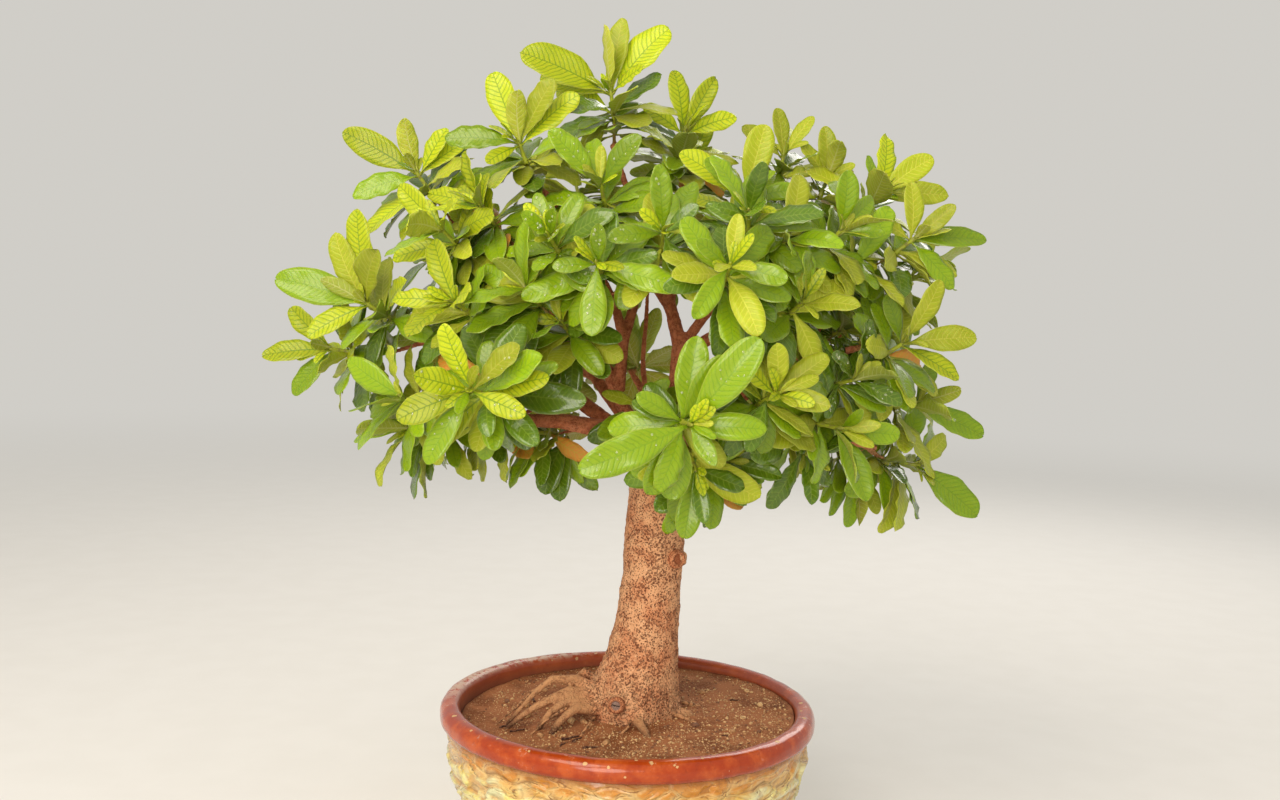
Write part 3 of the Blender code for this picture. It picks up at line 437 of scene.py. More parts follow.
class Blade:
    """One leaf: its foot, two stations and tip, its right-hand side at the first three, and its width."""

    def __init__(self, points, sides, width, rolled_by=0.3):
        self.points, self.sides, self.width = points, sides, width
        self.length = (points[3] - points[0]).length
        self.rolled_by = rolled_by

    def frame_at(self, share):
        """(point, side, upper normal, direction) at this share of the length."""
        step = 0.02
        point = pushed_through(self.points, share)
        before, after = (pushed_through(self.points, share + away) for away in (-step, step))
        along = (after - before).normalized()
        if share < STATIONS[1]:
            side = self.sides[0].lerp(self.sides[1], smooth(0, self.rolled_by, share))
        else:
            side = self.sides[1].lerp(self.sides[2], (share - STATIONS[1]) / (STATIONS[2] - STATIONS[1]))
        side = (side - along * side.dot(along)).normalized()
        return point, side, side.cross(along), along

    def outline(self, shares=OUTLINE_AT):
        """A light tree of triangles of the blade, to tell whether it crosses another."""
        corners, faces = [], []
        for share in shares:
            point, side, _, _ = self.frame_at(share)
            half = side * self.width / 2 * blade_width(share)
            corners += [point + half, point - half]
        for row in range(0, 2 * len(shares) - 2, 2):
            faces.append((row, row + 2, row + 3, row + 1))
        return BVHTree.FromPolygons(corners, faces)


def blade_width(share, widest=0.6, foot=1.25, tip=2.0):
    """Half-width of a leaf as a share of its widest: a wedge-shaped foot and a rounded tip."""
    if share < widest:
        return max(0.085, math.sin(math.pi / 2 * max(0, share) / widest) ** foot)
    return max(0.06, math.sqrt(max(0.0, 1 - ((share - widest) / (1 - widest)) ** tip)))


def arched_blade(foot, along, upper, length, width, bend, roll):
    """A leaf that leaves its foot along this line, arches from its upper side and rolls round its rib."""
    points, sides = [], []
    for share in STATIONS:
        angle = bend * share
        reach, drop = math.sin(angle) / bend, (1 - math.cos(angle)) / bend
        points.append(foot + (along * reach - upper * drop) * length)
        way = along * math.cos(angle) - upper * math.sin(angle)
        normal = along * math.sin(angle) + upper * math.cos(angle)
        turned = Matrix.Rotation(roll * min(1, share / 0.3), 3, way) @ normal
        sides.append(way.cross(turned))
    return Blade(points, sides[:3], width)


class CadShoot:
    """A leafy shoot read from its CAD node: its stem's foot, axis and top, and its blades."""

    def __init__(self, node):
        self.node = node
        bm = merged_copy(node)
        posts = {}
        for edge in bm.edges:
            if abs(edge.calc_length() - CAD_BLADE) < WELD:
                for vert in edge.verts:
                    posts[vert.index] = edge.index
        bm.verts.ensure_lookup_table()
        bm.edges.ensure_lookup_table()
        stem = [vert.co.copy() for vert in bm.verts if vert.index not in posts]
        self.read_stem(stem)
        linked = {post: set() for post in sorted(set(posts.values()))}
        roots = {post: set() for post in linked}
        for edge in bm.edges:
            ends = [posts.get(vert.index) for vert in edge.verts]
            if None not in ends and ends[0] != ends[1]:
                linked[ends[0]].add(ends[1])
                linked[ends[1]].add(ends[0])
            for vert, own, other in zip(edge.verts, ends, reversed(ends)):
                if own is not None and other is None:
                    roots[own].add(edge.other_vert(vert).index)
        self.blades = []
        for first in list(linked):
            if first in linked:
                group = self.gather(linked, first)
                self.blades.append(self.read_blade(bm, group, roots))
        bm.free()

    def read_stem(self, stem):
        """A stem is long and thin, so its axis is the main direction of its corners. Its bud is on it."""
        middle = sum(stem, Vector()) / len(stem)
        spread = np.array([corner - middle for corner in stem])
        axis = Vector(np.linalg.svd(spread, full_matrices=False)[2][0]).normalized()
        bud = min(stem, key=lambda corner: (corner - middle).cross(axis).length)
        self.axis = axis if (bud - middle).dot(axis) > 0 else -axis
        heights = [(corner - bud).dot(self.axis) for corner in stem]
        self.bud = bud
        self.foot = bud + self.axis * min(heights)
        self.height = -min(heights)
        self.across = self.axis.orthogonal().normalized()

    @staticmethod
    def gather(linked, first):
        """The posts of one blade with their links, taken out of linked."""
        group, queue = {}, [first]
        while queue:
            post = queue.pop()
            if post in linked:
                group[post] = sorted(linked.pop(post))
                queue += group[post]
        return group

    def read_blade(self, bm, group, roots):
        """A blade's posts are the edges through its thickness: two at each station and one at its tip."""
        def middle(post):
            return sum((vert.co for vert in bm.edges[post].verts), Vector()) / 2

        near = [post for post in group if roots[post]]
        tip = next(post for post in group if post not in near and not set(group[post]) & set(near))
        far = [post for post in group if post not in near and post != tip]
        corners = sorted(set().union(*(roots[post] for post in near)))
        foot = sum((bm.verts[index].co for index in corners), Vector()) / len(corners)
        points = [
            foot, sum(map(middle, near), Vector()) / 2, sum(map(middle, far), Vector()) / 2, middle(tip),
        ]
        width = (middle(near[0]) - middle(near[1])).length / STATION_WIDTH
        return self.face_outwards(
            points, middle(near[0]) - middle(near[1]), middle(far[0]) - middle(far[1]), width,
        )

    def face_outwards(self, points, first, second, width):
        """Gives the blade the side that turns its upper face out of the crown, towards the light."""
        along = (points[2] - points[0]).normalized()
        light = (points[1] - CROWN_HEART).normalized() + Vector((0, -0.35, 0.75))
        if first.cross(along).dot(light) < 0:
            first = -first
        if second.dot(first) < 0:
            second = -second
        radial = points[0] - self.foot
        radial -= self.axis * radial.dot(self.axis)
        start = self.axis.cross(radial).normalized()
        if start.dot(first) < 0:
            start = -start
        return Blade(points, [start, first.normalized(), second.normalized()], width)

    def radial(self, turn):
        """The direction out from the stem at this turn in radians."""
        return self.across * math.cos(turn) + self.axis.cross(self.across) * math.sin(turn)


def leaf_template(rows, columns):
    """A closed slab from -1 to 1 across and 0 to 1 along, with its upper face at 0 and its lower at -1."""
    bm = bmesh.new()
    bmesh.ops.create_grid(bm, x_segments=columns, y_segments=rows, size=1)
    bmesh.ops.translate(bm, verts=bm.verts, vec=(0, 1, 0))
    bmesh.ops.scale(bm, verts=bm.verts, vec=(1, 0.5, 1))
    bmesh.ops.solidify(bm, geom=list(bm.faces), thickness=1)
    bmesh.ops.recalc_face_normals(bm, faces=bm.faces)
    mesh = bpy.data.meshes.new("leaf_template")
    bm.to_mesh(mesh)
    bm.free()
    return mesh


def lay_blade(bm, template, blade, settings, draw, finish):
    """Adds the template to bm and moves it onto the blade, with a folded rib, a wavy margin and a stalk."""
    mark, place = (bm.verts.layers.float_vector[name] for name in ("blade", "blade_mm"))
    first_vert, first_face = len(bm.verts), len(bm.faces)
    bm.from_mesh(template)
    bm.verts.ensure_lookup_table()
    bm.faces.ensure_lookup_table()
    fold, waves = draw.uniform(-0.04, 0.3), draw.uniform(2.2, 4.2)
    height = draw.uniform(0.02, 0.07) * blade.width * min(1, blade.length / 0.055)
    starts = draw.uniform(0, 6.28), draw.uniform(0, 6.28)
    uneven, own = draw.uniform(0, 100), draw.random()
    notch = draw.uniform(-0.015, 0.02)
    form = draw.uniform(0.54, 0.66), draw.uniform(1.1, 1.5), draw.uniform(1.6, 2.4)
    slim = draw.uniform(0.88, 1.0)
    rows = {}
    for vert in bm.verts[first_vert:]:
        across, slab = vert.co.x, 0 if vert.co.z > -0.5 else 1
        share = 1 - (1 - min(1, vert.co.y)) ** 1.5
        if share not in rows:
            rows[share] = blade.frame_at(share)
        point, side, normal, along = rows[share]
        half = blade.width / 2 * slim * blade_width(share, *form)
        edge = abs(across)
        broad = smooth(0.12, 0.4, share)
        ragged = 1 + 0.05 * broad * noise.noise(Vector((share * 7, uneven, 1 if across > 0 else -1)))
        start = starts[0] if across > 0 else starts[1]
        wave = height * edge * edge * broad * math.sin(start + waves * 2 * math.pi * share)
        rise = fold * half * edge * broad + wave
        stalk = 1 - smooth(0.03, 0.2, share)
        rib = math.exp(-((across / 0.16) ** 2)) * (1 - 0.75 * share)
        thick = settings.blade / 2 + stalk * 0.0006
        rise += thick * (1 - 0.35 * edge) if slab == 0 else -thick * (1 - 0.35 * edge) - rib * 0.0005
        reach = notch * blade.length * (1 - edge) * smooth(0.85, 1, share)
        vert.co = point + side * across * half * ragged + normal * rise - along * reach
        vert[mark] = (across, share, slab)
        vert[place] = (across * half / MM, share * blade.length / MM, own)
    for face in bm.faces[first_face:]:
        face.material_index = finish


# The stem of a shoot as radius in mm and height as a share of its length: two whorls of leaf scars and a bud
STEM_PROFILE = (
    (0, -0.06), (2.0, -0.06), (1.95, 0.12), (2.5, 0.22), (2.6, 0.3), (2.0, 0.36), (1.8, 0.5), (1.75, 0.68),
    (2.2, 0.78), (1.8, 0.84), (1.6, 0.88), (1.7, 0.92), (1.1, 0.97), (0, 1.02),
)


def lay_stem(bm, shoot, finish):
    """Turns the stem's outline round its axis."""
    known = set(bm.faces)
    place = Matrix.Translation(shoot.foot)
    place @= Matrix((shoot.across, shoot.axis.cross(shoot.across), shoot.axis)).transposed().to_4x4()
    outline = [place @ Vector((radius * MM, 0, share * shoot.height)) for radius, share in STEM_PROFILE]
    turn_outline(bm, outline, 8, shoot.foot, shoot.axis)
    bmesh.ops.remove_doubles(bm, verts=bm.verts, dist=WELD)
    turned = [face for face in bm.faces if face not in known]
    for face in turned:
        face.material_index = finish
    bmesh.ops.recalc_face_normals(bm, faces=turned)


class Foliage:
    """All leaves of the crown, so that an added leaf can keep clear of those that stand."""

    def __init__(self):
        self.shoots = [CadShoot(node) for node in SHOOTS]
        bm = merged_copy("wood")
        self.wood = BVHTree.FromBMesh(bm)
        bm.free()
        self.standing = []
        for shoot in self.shoots:
            for blade in shoot.blades:
                self.stand(blade)

    def stand(self, blade):
        """Takes the blade up among those that stand."""
        middle = pushed_through(blade.points, LEAF_MIDDLE)
        self.standing.append((middle, blade.length / 2, blade.outline()))

    def has_room(self, blade):
        """Whether the blade crosses nothing, stays inside the CAD box and leaves the openings free."""
        middle, reach = pushed_through(blade.points, LEAF_MIDDLE), blade.length / 2
        scale = -LOOK_FROM.y / (middle.y - LOOK_FROM.y)
        seen = LOOK_FROM.lerp(middle, scale)
        for (left, right), (low, high) in OPEN_VIEWS:
            if middle.y < OPEN_DEPTH and left < seen.x / MM < right and low < seen.z / MM < high:
                return False
        for tip, low, high in zip(blade.points[3], *CAD_BOX):
            if not low + BOX_CLEARANCE <= tip <= high - BOX_CLEARANCE:
                return False
        own = blade.outline(ROOM_AT)
        if own.overlap(self.wood):
            return False
        return not any(
            (middle - place).length < reach + extent and own.overlap(tree)
            for place, extent, tree in self.standing
        )

    def try_leaf(self, shoot, draw, height, angles, lengths, slender, tries):
        """A leaf at this height on the shoot's axis that finds room, or None."""
        for attempt in range(tries):
            turn, angle = draw.uniform(0, 2 * math.pi), math.radians(draw.uniform(*angles))
            radial = shoot.radial(turn)
            along = shoot.axis * math.cos(angle) + radial * math.sin(angle)
            upper = shoot.axis * math.sin(angle) - radial * math.cos(angle)
            foot = shoot.foot + shoot.axis * height + radial * STEM_RADIUS
            forwards = -0.9 if foot.y < BACK_FROM else 0.5
            light = (foot - CROWN_HEART).normalized() * 0.7 + Vector((0, forwards, 0.55))
            roll = math.atan2(light.dot(along.cross(upper)), light.dot(upper))
            roll = max(-MOST_ROLL, min(MOST_ROLL, roll * 0.8 + draw.uniform(-0.4, 0.4)))
            length = draw.uniform(*lengths) * (1 - 0.2 * attempt / tries)
            width, bend = length * slender * draw.uniform(0.9, 1.15), draw.uniform(0.2, 0.8)
            blade = arched_blade(foot, along, upper, length, width, bend, roll)
            if self.has_room(blade):
                return blade
        return None


def pick_kind(shoot, draw, place, role):
    """Which kind of leaf this is: young and veined at the left tips, even on the right, dark inside."""
    slot = SLOTS[shoot.node]
    even = smooth(0.02, 0.2, place.x) * 0.85 + 0.08
    deep = 1 - smooth(0.12, 0.26, (place - CROWN_HEART).length)
    if role == "inner" and draw.random() < SPENT_CHANCE:
        return "spent_blade"
    if role == "inner":
        shares = {"old_blade": 0.3 + 0.4 * deep, "grown_blade": 0.6, "even_young_blade": 0.35}
    elif role == "bud":
        shares = {"veined_young_blade": 1 - even, "even_young_blade": even + 0.2, "grown_blade": 0.15}
    elif slot == "young_leaf":
        shares = {"veined_young_blade": 1 - even, "even_young_blade": even + 0.12, "grown_blade": 0.12}
    elif slot == "mature_leaf":
        pale = 0.06 + 0.6 * even * smooth(-0.16, -0.11, place.y)
        shares = {"grown_blade": 0.7, "even_young_blade": pale, "old_blade": 0.2 * deep}
    else:
        shares = {"old_blade": 0.75, "grown_blade": 0.35}
    kinds = sorted(shares)
    return draw.choices(kinds, [shares[kind] for kind in kinds])[0]


class BONSAI_OT_foliage(bpy.types.Operator):
    """Dress every leafy shoot with fine leaves, half-grown leaves round its bud and older ones below it"""

    bl_idname = "bonsai.foliage"
    bl_label = "Leafy shoots"

    def execute(self, context):
        settings = context.scene.bonsai.leaves
        finishes = [blade_finish(name, settings) for name in LEAF_KINDS] + [stem_finish(settings)]
        order = {name: index for index, name in enumerate(LEAF_KINDS)}
        stem_index = len(LEAF_KINDS)
        fine = leaf_template(settings.rows, settings.columns)
        light = leaf_template(settings.small_rows, settings.columns - 2)
        foliage = Foliage()
        for shoot in foliage.shoots:
            draw = random.Random("leaves of " + shoot.node)
            bm = bmesh.new()
            for name in ("blade", "blade_mm"):
                bm.verts.layers.float_vector.new(name)
            for blade in shoot.blades:
                kind = pick_kind(shoot, draw, blade.points[2], "main")
                lay_blade(bm, fine, blade, settings, draw, order[kind])
            for role, count, heights, angles, lengths, slender, tries in (
                ("bud", settings.bud_leaves, (-0.008, -0.003), (14, 48), (0.016, 0.034), 0.36, 6),
                ("inner", settings.inner_leaves, (-0.05, -0.02), (50, 114), (0.042, 0.068), 0.4, 34),
            ):
                for _ in range(count):
                    height = max(-0.012, shoot.height + draw.uniform(*heights))
                    blade = foliage.try_leaf(shoot, draw, height, angles, lengths, slender, tries)
                    if blade:
                        foliage.stand(blade)
                        kind = pick_kind(shoot, draw, blade.points[2], role)
                        lay_blade(bm, light, blade, settings, draw, order[kind])
            lay_stem(bm, shoot, stem_index)
            new_piece(shoot.node.replace("shoot_", "foliage_"), bm, finishes, [shoot.node])
        bpy.data.meshes.remove(fine)
        bpy.data.meshes.remove(light)
        return {"FINISHED"}


# Shoots whose leaves still hold rain, how many drops a leaf holds, the radius of a drop in mm, and how far
# above a leaf, in metres, the search for its face starts
WET_SHOOTS = (
    "shoot_front_wet", "shoot_front_left", "shoot_front_middle", "shoot_front_cross", "shoot_left_big",
    "shoot_left_pale", "shoot_crown_front", "shoot_right_dark",
)
DROPS_PER_LEAF = (3, 9)
DROP_RADII = (0.5, 1.5)
DROP_FALL = 0.012


def water_finish():
    """Clear rain water: the leaf shows through each drop, a little paler, under one bright point of light."""
    finish, add, shader = new_finish("rain_water", 0.04, specular=1.0)
    shade = add("TexNoise", object_mm(add), 1 / 1.5, 1.0)
    # Painted sheen: the drops are tinted pale so that they read brighter than the leaf under them.
    skin = add("Mix", add("MapRange", shade, 0.4, 0.6), linear("#dfe8a8"), linear("#f4f6da"))
    plug(shader.inputs["Base Color"], skin)
    plug(shader.inputs["Alpha"], 0.28)
    plug(shader.inputs["IOR"], 1.6)
    plug(shader.inputs["Normal"], add("Bump", 0.5, 0.1 * MM, None, shade))
    return finish


class BONSAI_OT_drops(bpy.types.Operator):
    """Set rain drops on the upper faces of the front leaves"""

    bl_idname = "bonsai.drops"
    bl_label = "Rain drops"

    def execute(self, context):
        draw = random.Random("drops")
        bm = bmesh.new()
        carrier = bpy.data.meshes.new("drop")
        for node in WET_SHOOTS:
            piece = bpy.data.objects[node.replace("shoot_", "foliage_")]
            skin = BVHTree.FromObject(piece, context.evaluated_depsgraph_get())
            for blade in CadShoot(node).blades:
                for _ in range(draw.randint(*DROPS_PER_LEAF)):
                    share, across = draw.uniform(0.3, 0.9), draw.uniform(-0.6, 0.6)
                    radius = draw.uniform(*DROP_RADII) * MM
                    point, side, normal, _ = blade.frame_at(share)
                    start = point + side * across * blade.width / 2 * blade_width(share) + normal * DROP_FALL
                    hit, out, _, reach = skin.ray_cast(start, -normal, DROP_FALL * 2)
                    if hit is None or out.dot(normal) < 0.5 or reach < DROP_FALL / 2:
                        continue
                    drop = bmesh.new()
                    bmesh.ops.create_icosphere(drop, subdivisions=2, radius=radius)
                    bmesh.ops.scale(drop, verts=drop.verts, vec=(1, draw.uniform(0.75, 1), 0.55))
                    turn = out.to_track_quat("Z", "X").to_matrix().to_4x4()
                    seat = Matrix.Translation(hit + out * radius * 0.25) @ turn
                    bmesh.ops.transform(drop, verts=drop.verts, matrix=seat)
                    drop.to_mesh(carrier)
                    drop.free()
                    bm.from_mesh(carrier)
        bpy.data.meshes.remove(carrier)
        new_piece("rain_drops", bm, [water_finish()])
        return {"FINISHED"}


# The trunk's axis below and above its lean, the heights between which it leans, where the limbs start and
# from where twigs are green, the soil's level beside the trunk, and how far the wood is kept below it
TRUNK_AXIS = Vector((4, -2, 0)) * MM, Vector((18, 0, 0)) * MM
TRUNK_LEAN = (0.17, 0.3)
TRUNK_TOP = 0.41
YOUNG_FROM = 0.45
SOIL_FACE = 0.1545
ROOT_DEPTH = 0.018

# Soft steps in metres: from the trunk to the limbs, away from a shoot's foot, and beside the trunk and up it,
# where a bare root begins and ends
LIMB_STEP = (TRUNK_TOP - 0.012, TRUNK_TOP + 0.02)
YOUNG_STEP = (0.006, 0.034)
ROOT_ASIDE, ROOT_UP = (0.044, 0.056), (0.2, 0.22)


def trunk_line(height):
    """The middle of the trunk at this height, as x and y."""
    return TRUNK_AXIS[0].lerp(TRUNK_AXIS[1], smooth(*TRUNK_LEAN, height))


def wood_zones(mesh, feet):
    """How far each point belongs to the limbs, to a young twig and to a bare root, as one attribute."""
    near_foot = KDTree(len(feet))
    for index, foot in enumerate(feet):
        near_foot.insert(foot, index)
    near_foot.balance()
    zone = mesh.attributes.new("wood_zone", "FLOAT_VECTOR", "POINT")
    values = []
    for vert in mesh.vertices:
        place = vert.co
        limb = smooth(*LIMB_STEP, place.z + 0.012 * noise.noise(place * 60))
        young = 1 - smooth(*YOUNG_STEP, near_foot.find(place)[2])
        aside = (Vector((place.x, place.y, 0)) - trunk_line(place.z)).length
        root = smooth(*ROOT_ASIDE, aside) * (1 - smooth(*ROOT_UP, place.z))
        values += (limb, young, root)
    zone.data.foreach_set("vector", values)


def bark_relief(place, limb, spacing):
    """How far the bark stands out here, in metres: slow lumps, corky warts and round pits."""
    lumps = 0.0013 * noise.noise(place * 45) + 0.0006 * noise.noise(place * 130)
    cells = noise.voronoi(place * 1000 / spacing)[0]
    patchy = smooth(-0.3, 0.3, noise.noise(place * 75))
    pit = -0.0011 * (1 - smooth(0.12, 0.42, cells[0])) * (0.35 + 0.65 * patchy)
    wart = 0.0009 * smooth(0.1, 0.5, cells[1] - cells[0])
    base = 1 - smooth(0.17, 0.25, place.z)
    trunk = lumps + pit + wart * (0.5 + 0.9 * base)
    twig = 0.0002 + 0.0004 * noise.noise(place * 160) + 0.0003 * noise.noise(place * 420)
    return trunk * (1 - limb) + twig * limb


def bark_finish(settings):
    """Corky bark, tan and rose with round dark pits on the trunk, redder and smoother on the limbs."""
    finish, add, shader = new_finish("corky_bark", 0.85, specular=0.3)
    place = object_mm(add)
    zone = add("Attribute", attribute_name="wood_zone", gives="Vector")
    limb, young, root = add("SeparateXYZ", zone).node.outputs
    patches = add("TexNoise", place, 1 / 22, 4.0, 0.6)
    skin = add("Mix", add("MapRange", patches, 0.38, 0.62), settings.tan, settings.rose)
    flecks = add("TexNoise", place, 1 / 2.4, 3.0, 0.7)
    skin = add("Mix", add("MapRange", flecks, 0.5, 0.72, 0.0, 0.65), skin, linear("#efc296"))
    shove = add("TexNoise", place, 1 / 2.6, 2.0, gives="Color")
    ragged = add("VectorMath MULTIPLY_ADD", shove, (1.3, 1.3, 1.3), place)
    # The pits are drawn a little coarser than the real ones, so that they show
    pits = add("TexVoronoi", ragged, 1 / settings.pit)
    crowd = add("TexNoise", place, 1 / 11, 3.0)
    reach = add("MapRange", crowd, 0.3, 0.65, 0.14, 0.4)
    pit = add("MapRange", add("Math SUBTRACT", pits, reach), -0.12, 0.08, 1.0, 0.0)
    specks = add("TexVoronoi", ragged, 1 / 1.9)
    specks = add("Math SUBTRACT", specks, add("Math MULTIPLY", crowd, 0.5))
    speck = add("MapRange", specks, 0.0, 0.16, 1.0, 0.0)
    mark = add("Math MAXIMUM", pit, add("Math MULTIPLY", speck, 0.8))
    shade = add("TexNoise", place, 1 / 6, 2.0)
    depth = add("MapRange", shade, 0.35, 0.6, 0.55, 0.85)
    skin = add("Mix", add("Math MULTIPLY", mark, depth), skin, settings.pit_brown)

    grain = add("TexNoise", place, 1 / 5.5, 4.0, 0.65)
    red = add("Mix", add("MapRange", grain, 0.4, 0.68), settings.limb, settings.limb_dark)
    red = add("Mix", add("MapRange", flecks, 0.54, 0.74, 0.0, 0.6), red, linear("#cf9672"))
    rings = add("TexNoise", place, 1 / 9, 2.0, 0.5, None, 1.5)
    node = add("MapRange", add("Math ABSOLUTE", add("Math SUBTRACT", rings, 0.5)), 0.004, 0.016, 0.45, 0.0)
    red = add("Mix", node, red, linear("#7c3c24"))
    red = add("Mix", add("Math MULTIPLY", speck, 0.2), red, settings.pit_brown)
    red = add("Mix", add("MapRange", young, 0.1, 0.95, 0.0, 0.8), red, settings.twig)
    skin = add("Mix", limb, skin, red)
    bare = add("Mix", add("MapRange", grain, 0.48, 0.7, 0.0, 0.6), settings.root, settings.pit_brown)
    height = add("SeparateXYZ", place, gives="Z")
    height = add("Math MULTIPLY_ADD", grain, 14.0, height)
    # Painted shade: the bare roots are painted nearly black close to the soil, with a ragged edge.
    bare = add("Mix", add("MapRange", height, 160.0, 172.0, 0.9, 0.0), bare, linear("#4c2b1a"))
    skin = add("Mix", root, skin, bare)
    low = add("MapRange", height, 178.0, 225.0, 1.0, 0.0)
    crumbs = add("TexVoronoi", ragged, 1 / 2.3)
    crumb = add("Math MULTIPLY", add("MapRange", crumbs, 0.15, 0.55, 1.0, 0.0), low)
    skin = add("Mix", add("Math MULTIPLY", crumb, 0.3), skin, linear("#d8ab7e"))
    plug(shader.inputs["Base Color"], skin)
    bumpy = add("Math MULTIPLY_ADD", add("Math MAXIMUM", root, limb), -0.65, 1.0)
    high = add("Math MULTIPLY_ADD", mark, -1.0, add("Math MULTIPLY", flecks, 1.0))
    high = add("Math MULTIPLY_ADD", grain, 0.6, high)
    high = add("Math MULTIPLY", add("Math MULTIPLY_ADD", crumb, 1.1, high), bumpy)
    plug(shader.inputs["Normal"], add("Bump", 1.0, 1.5 * MM, None, high))
    return finish


def keep_largest_shell(bm):
    """Deletes the crumbs that remeshing leaves beside the wood."""
    left, shells = set(bm.verts), []
    while left:
        queue, shell = [left.pop()], []
        while queue:
            vert = queue.pop()
            shell.append(vert)
            for edge in vert.link_edges:
                other = edge.other_vert(vert)
                if other in left:
                    left.remove(other)
                    queue.append(other)
        shells.append(shell)
    shells.sort(key=len)
    bmesh.ops.delete(bm, geom=sum(shells[:-1], []), context="VERTS")


class BONSAI_OT_wood(bpy.types.Operator):
    """Remesh the CAD wood finely, smooth its facets and raise corky bark on it"""

    bl_idname = "bonsai.wood"
    bl_label = "Trunk, limbs and twigs"

    def execute(self, context):
        settings = context.scene.bonsai.bark
        bm = merged_copy("wood")
        parts = list(bm.verts) + list(bm.edges) + list(bm.faces)
        cut = bmesh.ops.bisect_plane(
            bm, geom=parts, plane_co=(0, 0, SOIL_FACE - ROOT_DEPTH), plane_no=(0, 0, -1), clear_outer=True,
        )
        rim = [part for part in cut["geom_cut"] if isinstance(part, bmesh.types.BMEdge)]
        bmesh.ops.holes_fill(bm, edges=rim)
        rough = bpy.data.meshes.new("wood_rough")
        bm.to_mesh(rough)
        bm.free()
        body = bpy.data.objects.new("wood_rough", rough)
        context.scene.collection.objects.link(body)
        remesh = body.modifiers.new("skin", "REMESH")
        remesh.mode, remesh.voxel_size = "VOXEL", settings.voxel
        rounded = body.modifiers.new("rounding", "SMOOTH")
        rounded.factor, rounded.iterations = 0.5, 5
        context.view_layer.update()
        fine = bpy.data.meshes.new_from_object(body.evaluated_get(context.evaluated_depsgraph_get()))
        bpy.data.objects.remove(body)
        feet = [shoot.foot for shoot in map(CadShoot, SHOOTS) if shoot.foot.z > YOUNG_FROM]
        wood_zones(fine, feet)
        zones = fine.attributes["wood_zone"].data
        normals = [vert.normal.copy() for vert in fine.vertices]
        for vert, normal, zone in zip(fine.vertices, normals, zones):
            limb = max(zone.vector.x, zone.vector.z)
            vert.co += normal * bark_relief(vert.co, limb, settings.pit * 1.4)
        bm = bmesh.new()
        bm.from_mesh(fine)
        keep_largest_shell(bm)
        new_piece("trunk_and_limbs", bm, [bark_finish(settings)], ["wood"])
        return {"FINISHED"}


# The round scar of a cut limb on the front of the trunk's foot, which is grey, and the healed ring under the
# crown: place, direction out of the bark and radius in mm
SCARS = (
    ((-10.7, -49.5, 176.6), (-0.25, -0.95, 0.12), 6.0),
    ((41.5, -20.5, 308), (0.55, -0.82, 0.1), 7.0),
)
SCAR_PROFILE = (
    (0, 0.1), (0.5, 0.12), (0.66, 0.02), (0.78, 0.3), (0.92, 0.42), (1.08, 0.3), (1.25, 0.0), (1.3, -0.5),
    (0, -0.5),
)


def scar_finish(settings, name, pale, deep, light, split_depth):
    """End grain with rings inside a rolled lip of bark: grey and split if weathered, reddish if healed."""
    finish, add, shader = new_finish(name, 0.8, specular=0.3)
    place = add("Attribute", attribute_name="scar", gives="Vector")
    height = add("SeparateXYZ", place, gives="Y")
    reach = add("VectorMath LENGTH", place)
    rings = add("Math SINE", add("Math MULTIPLY", reach, 26.0))
    wander = add("Math MULTIPLY_ADD", add("TexNoise", place, 3.0, 3.0), 0.5, height)
    split = add("MapRange", add("Math ABSOLUTE", add("Math SUBTRACT", wander, 0.27)), 0.03, 0.12, 1.0, 0.0)
    inside = add("MapRange", reach, 0.62, 0.8, 1.0, 0.0)
    split = add("Math MULTIPLY", add("Math MULTIPLY", split, inside), split_depth)
    grain = add("TexNoise", place, 5.0, 4.0, 0.7)
    face = add("Mix", add("MapRange", rings, -1.0, 1.0, 0.0, 0.4), linear(pale), linear(deep))
    face = add("Mix", add("MapRange", grain, 0.5, 0.7, 0.0, 0.6), face, linear(light))
    lip = add("Mix", add("MapRange", grain, 0.42, 0.62), settings.rose, settings.pit_brown)
    skin = add("Mix", inside, lip, face)
    skin = add("Mix", split, skin, linear("#23140d"))
    plug(shader.inputs["Base Color"], skin)
    high = add("Math MULTIPLY_ADD", split, -1.5, grain)
    plug(shader.inputs["Normal"], add("Bump", 0.9, 0.5 * MM, None, high))
    return finish


class BONSAI_OT_scars(bpy.types.Operator):
    """Set the scars of cut limbs in the bark of the trunk"""

    bl_idname = "bonsai.scars"
    bl_label = "Scars"

    def execute(self, context):
        bm = bmesh.new()
        mark = bm.verts.layers.float_vector.new("scar")
        for finish, (place, outwards, radius) in enumerate(SCARS):
            out = Vector(outwards).normalized()
            right = out.cross(UP).normalized()
            turn = Matrix((right, right.cross(out) * -1, out)).transposed().to_4x4()
            seat = Matrix.Translation(Vector(place) * MM) @ turn @ Matrix.Scale(radius * MM, 4)
            known, old = set(bm.verts), set(bm.faces)
            turn_outline(bm, [(reach, 0, height) for reach, height in SCAR_PROFILE], 24)
            turned = [vert for vert in bm.verts if vert not in known]
            for vert in turned:
                vert[mark] = vert.co
                vert.co.z += 0.05 * noise.noise(vert.co * 3 + Vector(place))
            bmesh.ops.transform(bm, matrix=seat, verts=turned)
            for face in bm.faces:
                if face not in old:
                    face.material_index = finish
        weld(bm)
        bark = context.scene.bonsai.bark
        weathered = scar_finish(bark, "weathered_scar", "#8e7468", "#5f463b", "#b39a8b", 1.0)
        healed = scar_finish(bark, "healed_scar", "#9c5836", "#6b341b", "#b8754f", 0.0)
        new_piece("cut_scars", bm, [weathered, healed])
        return {"FINISHED"}


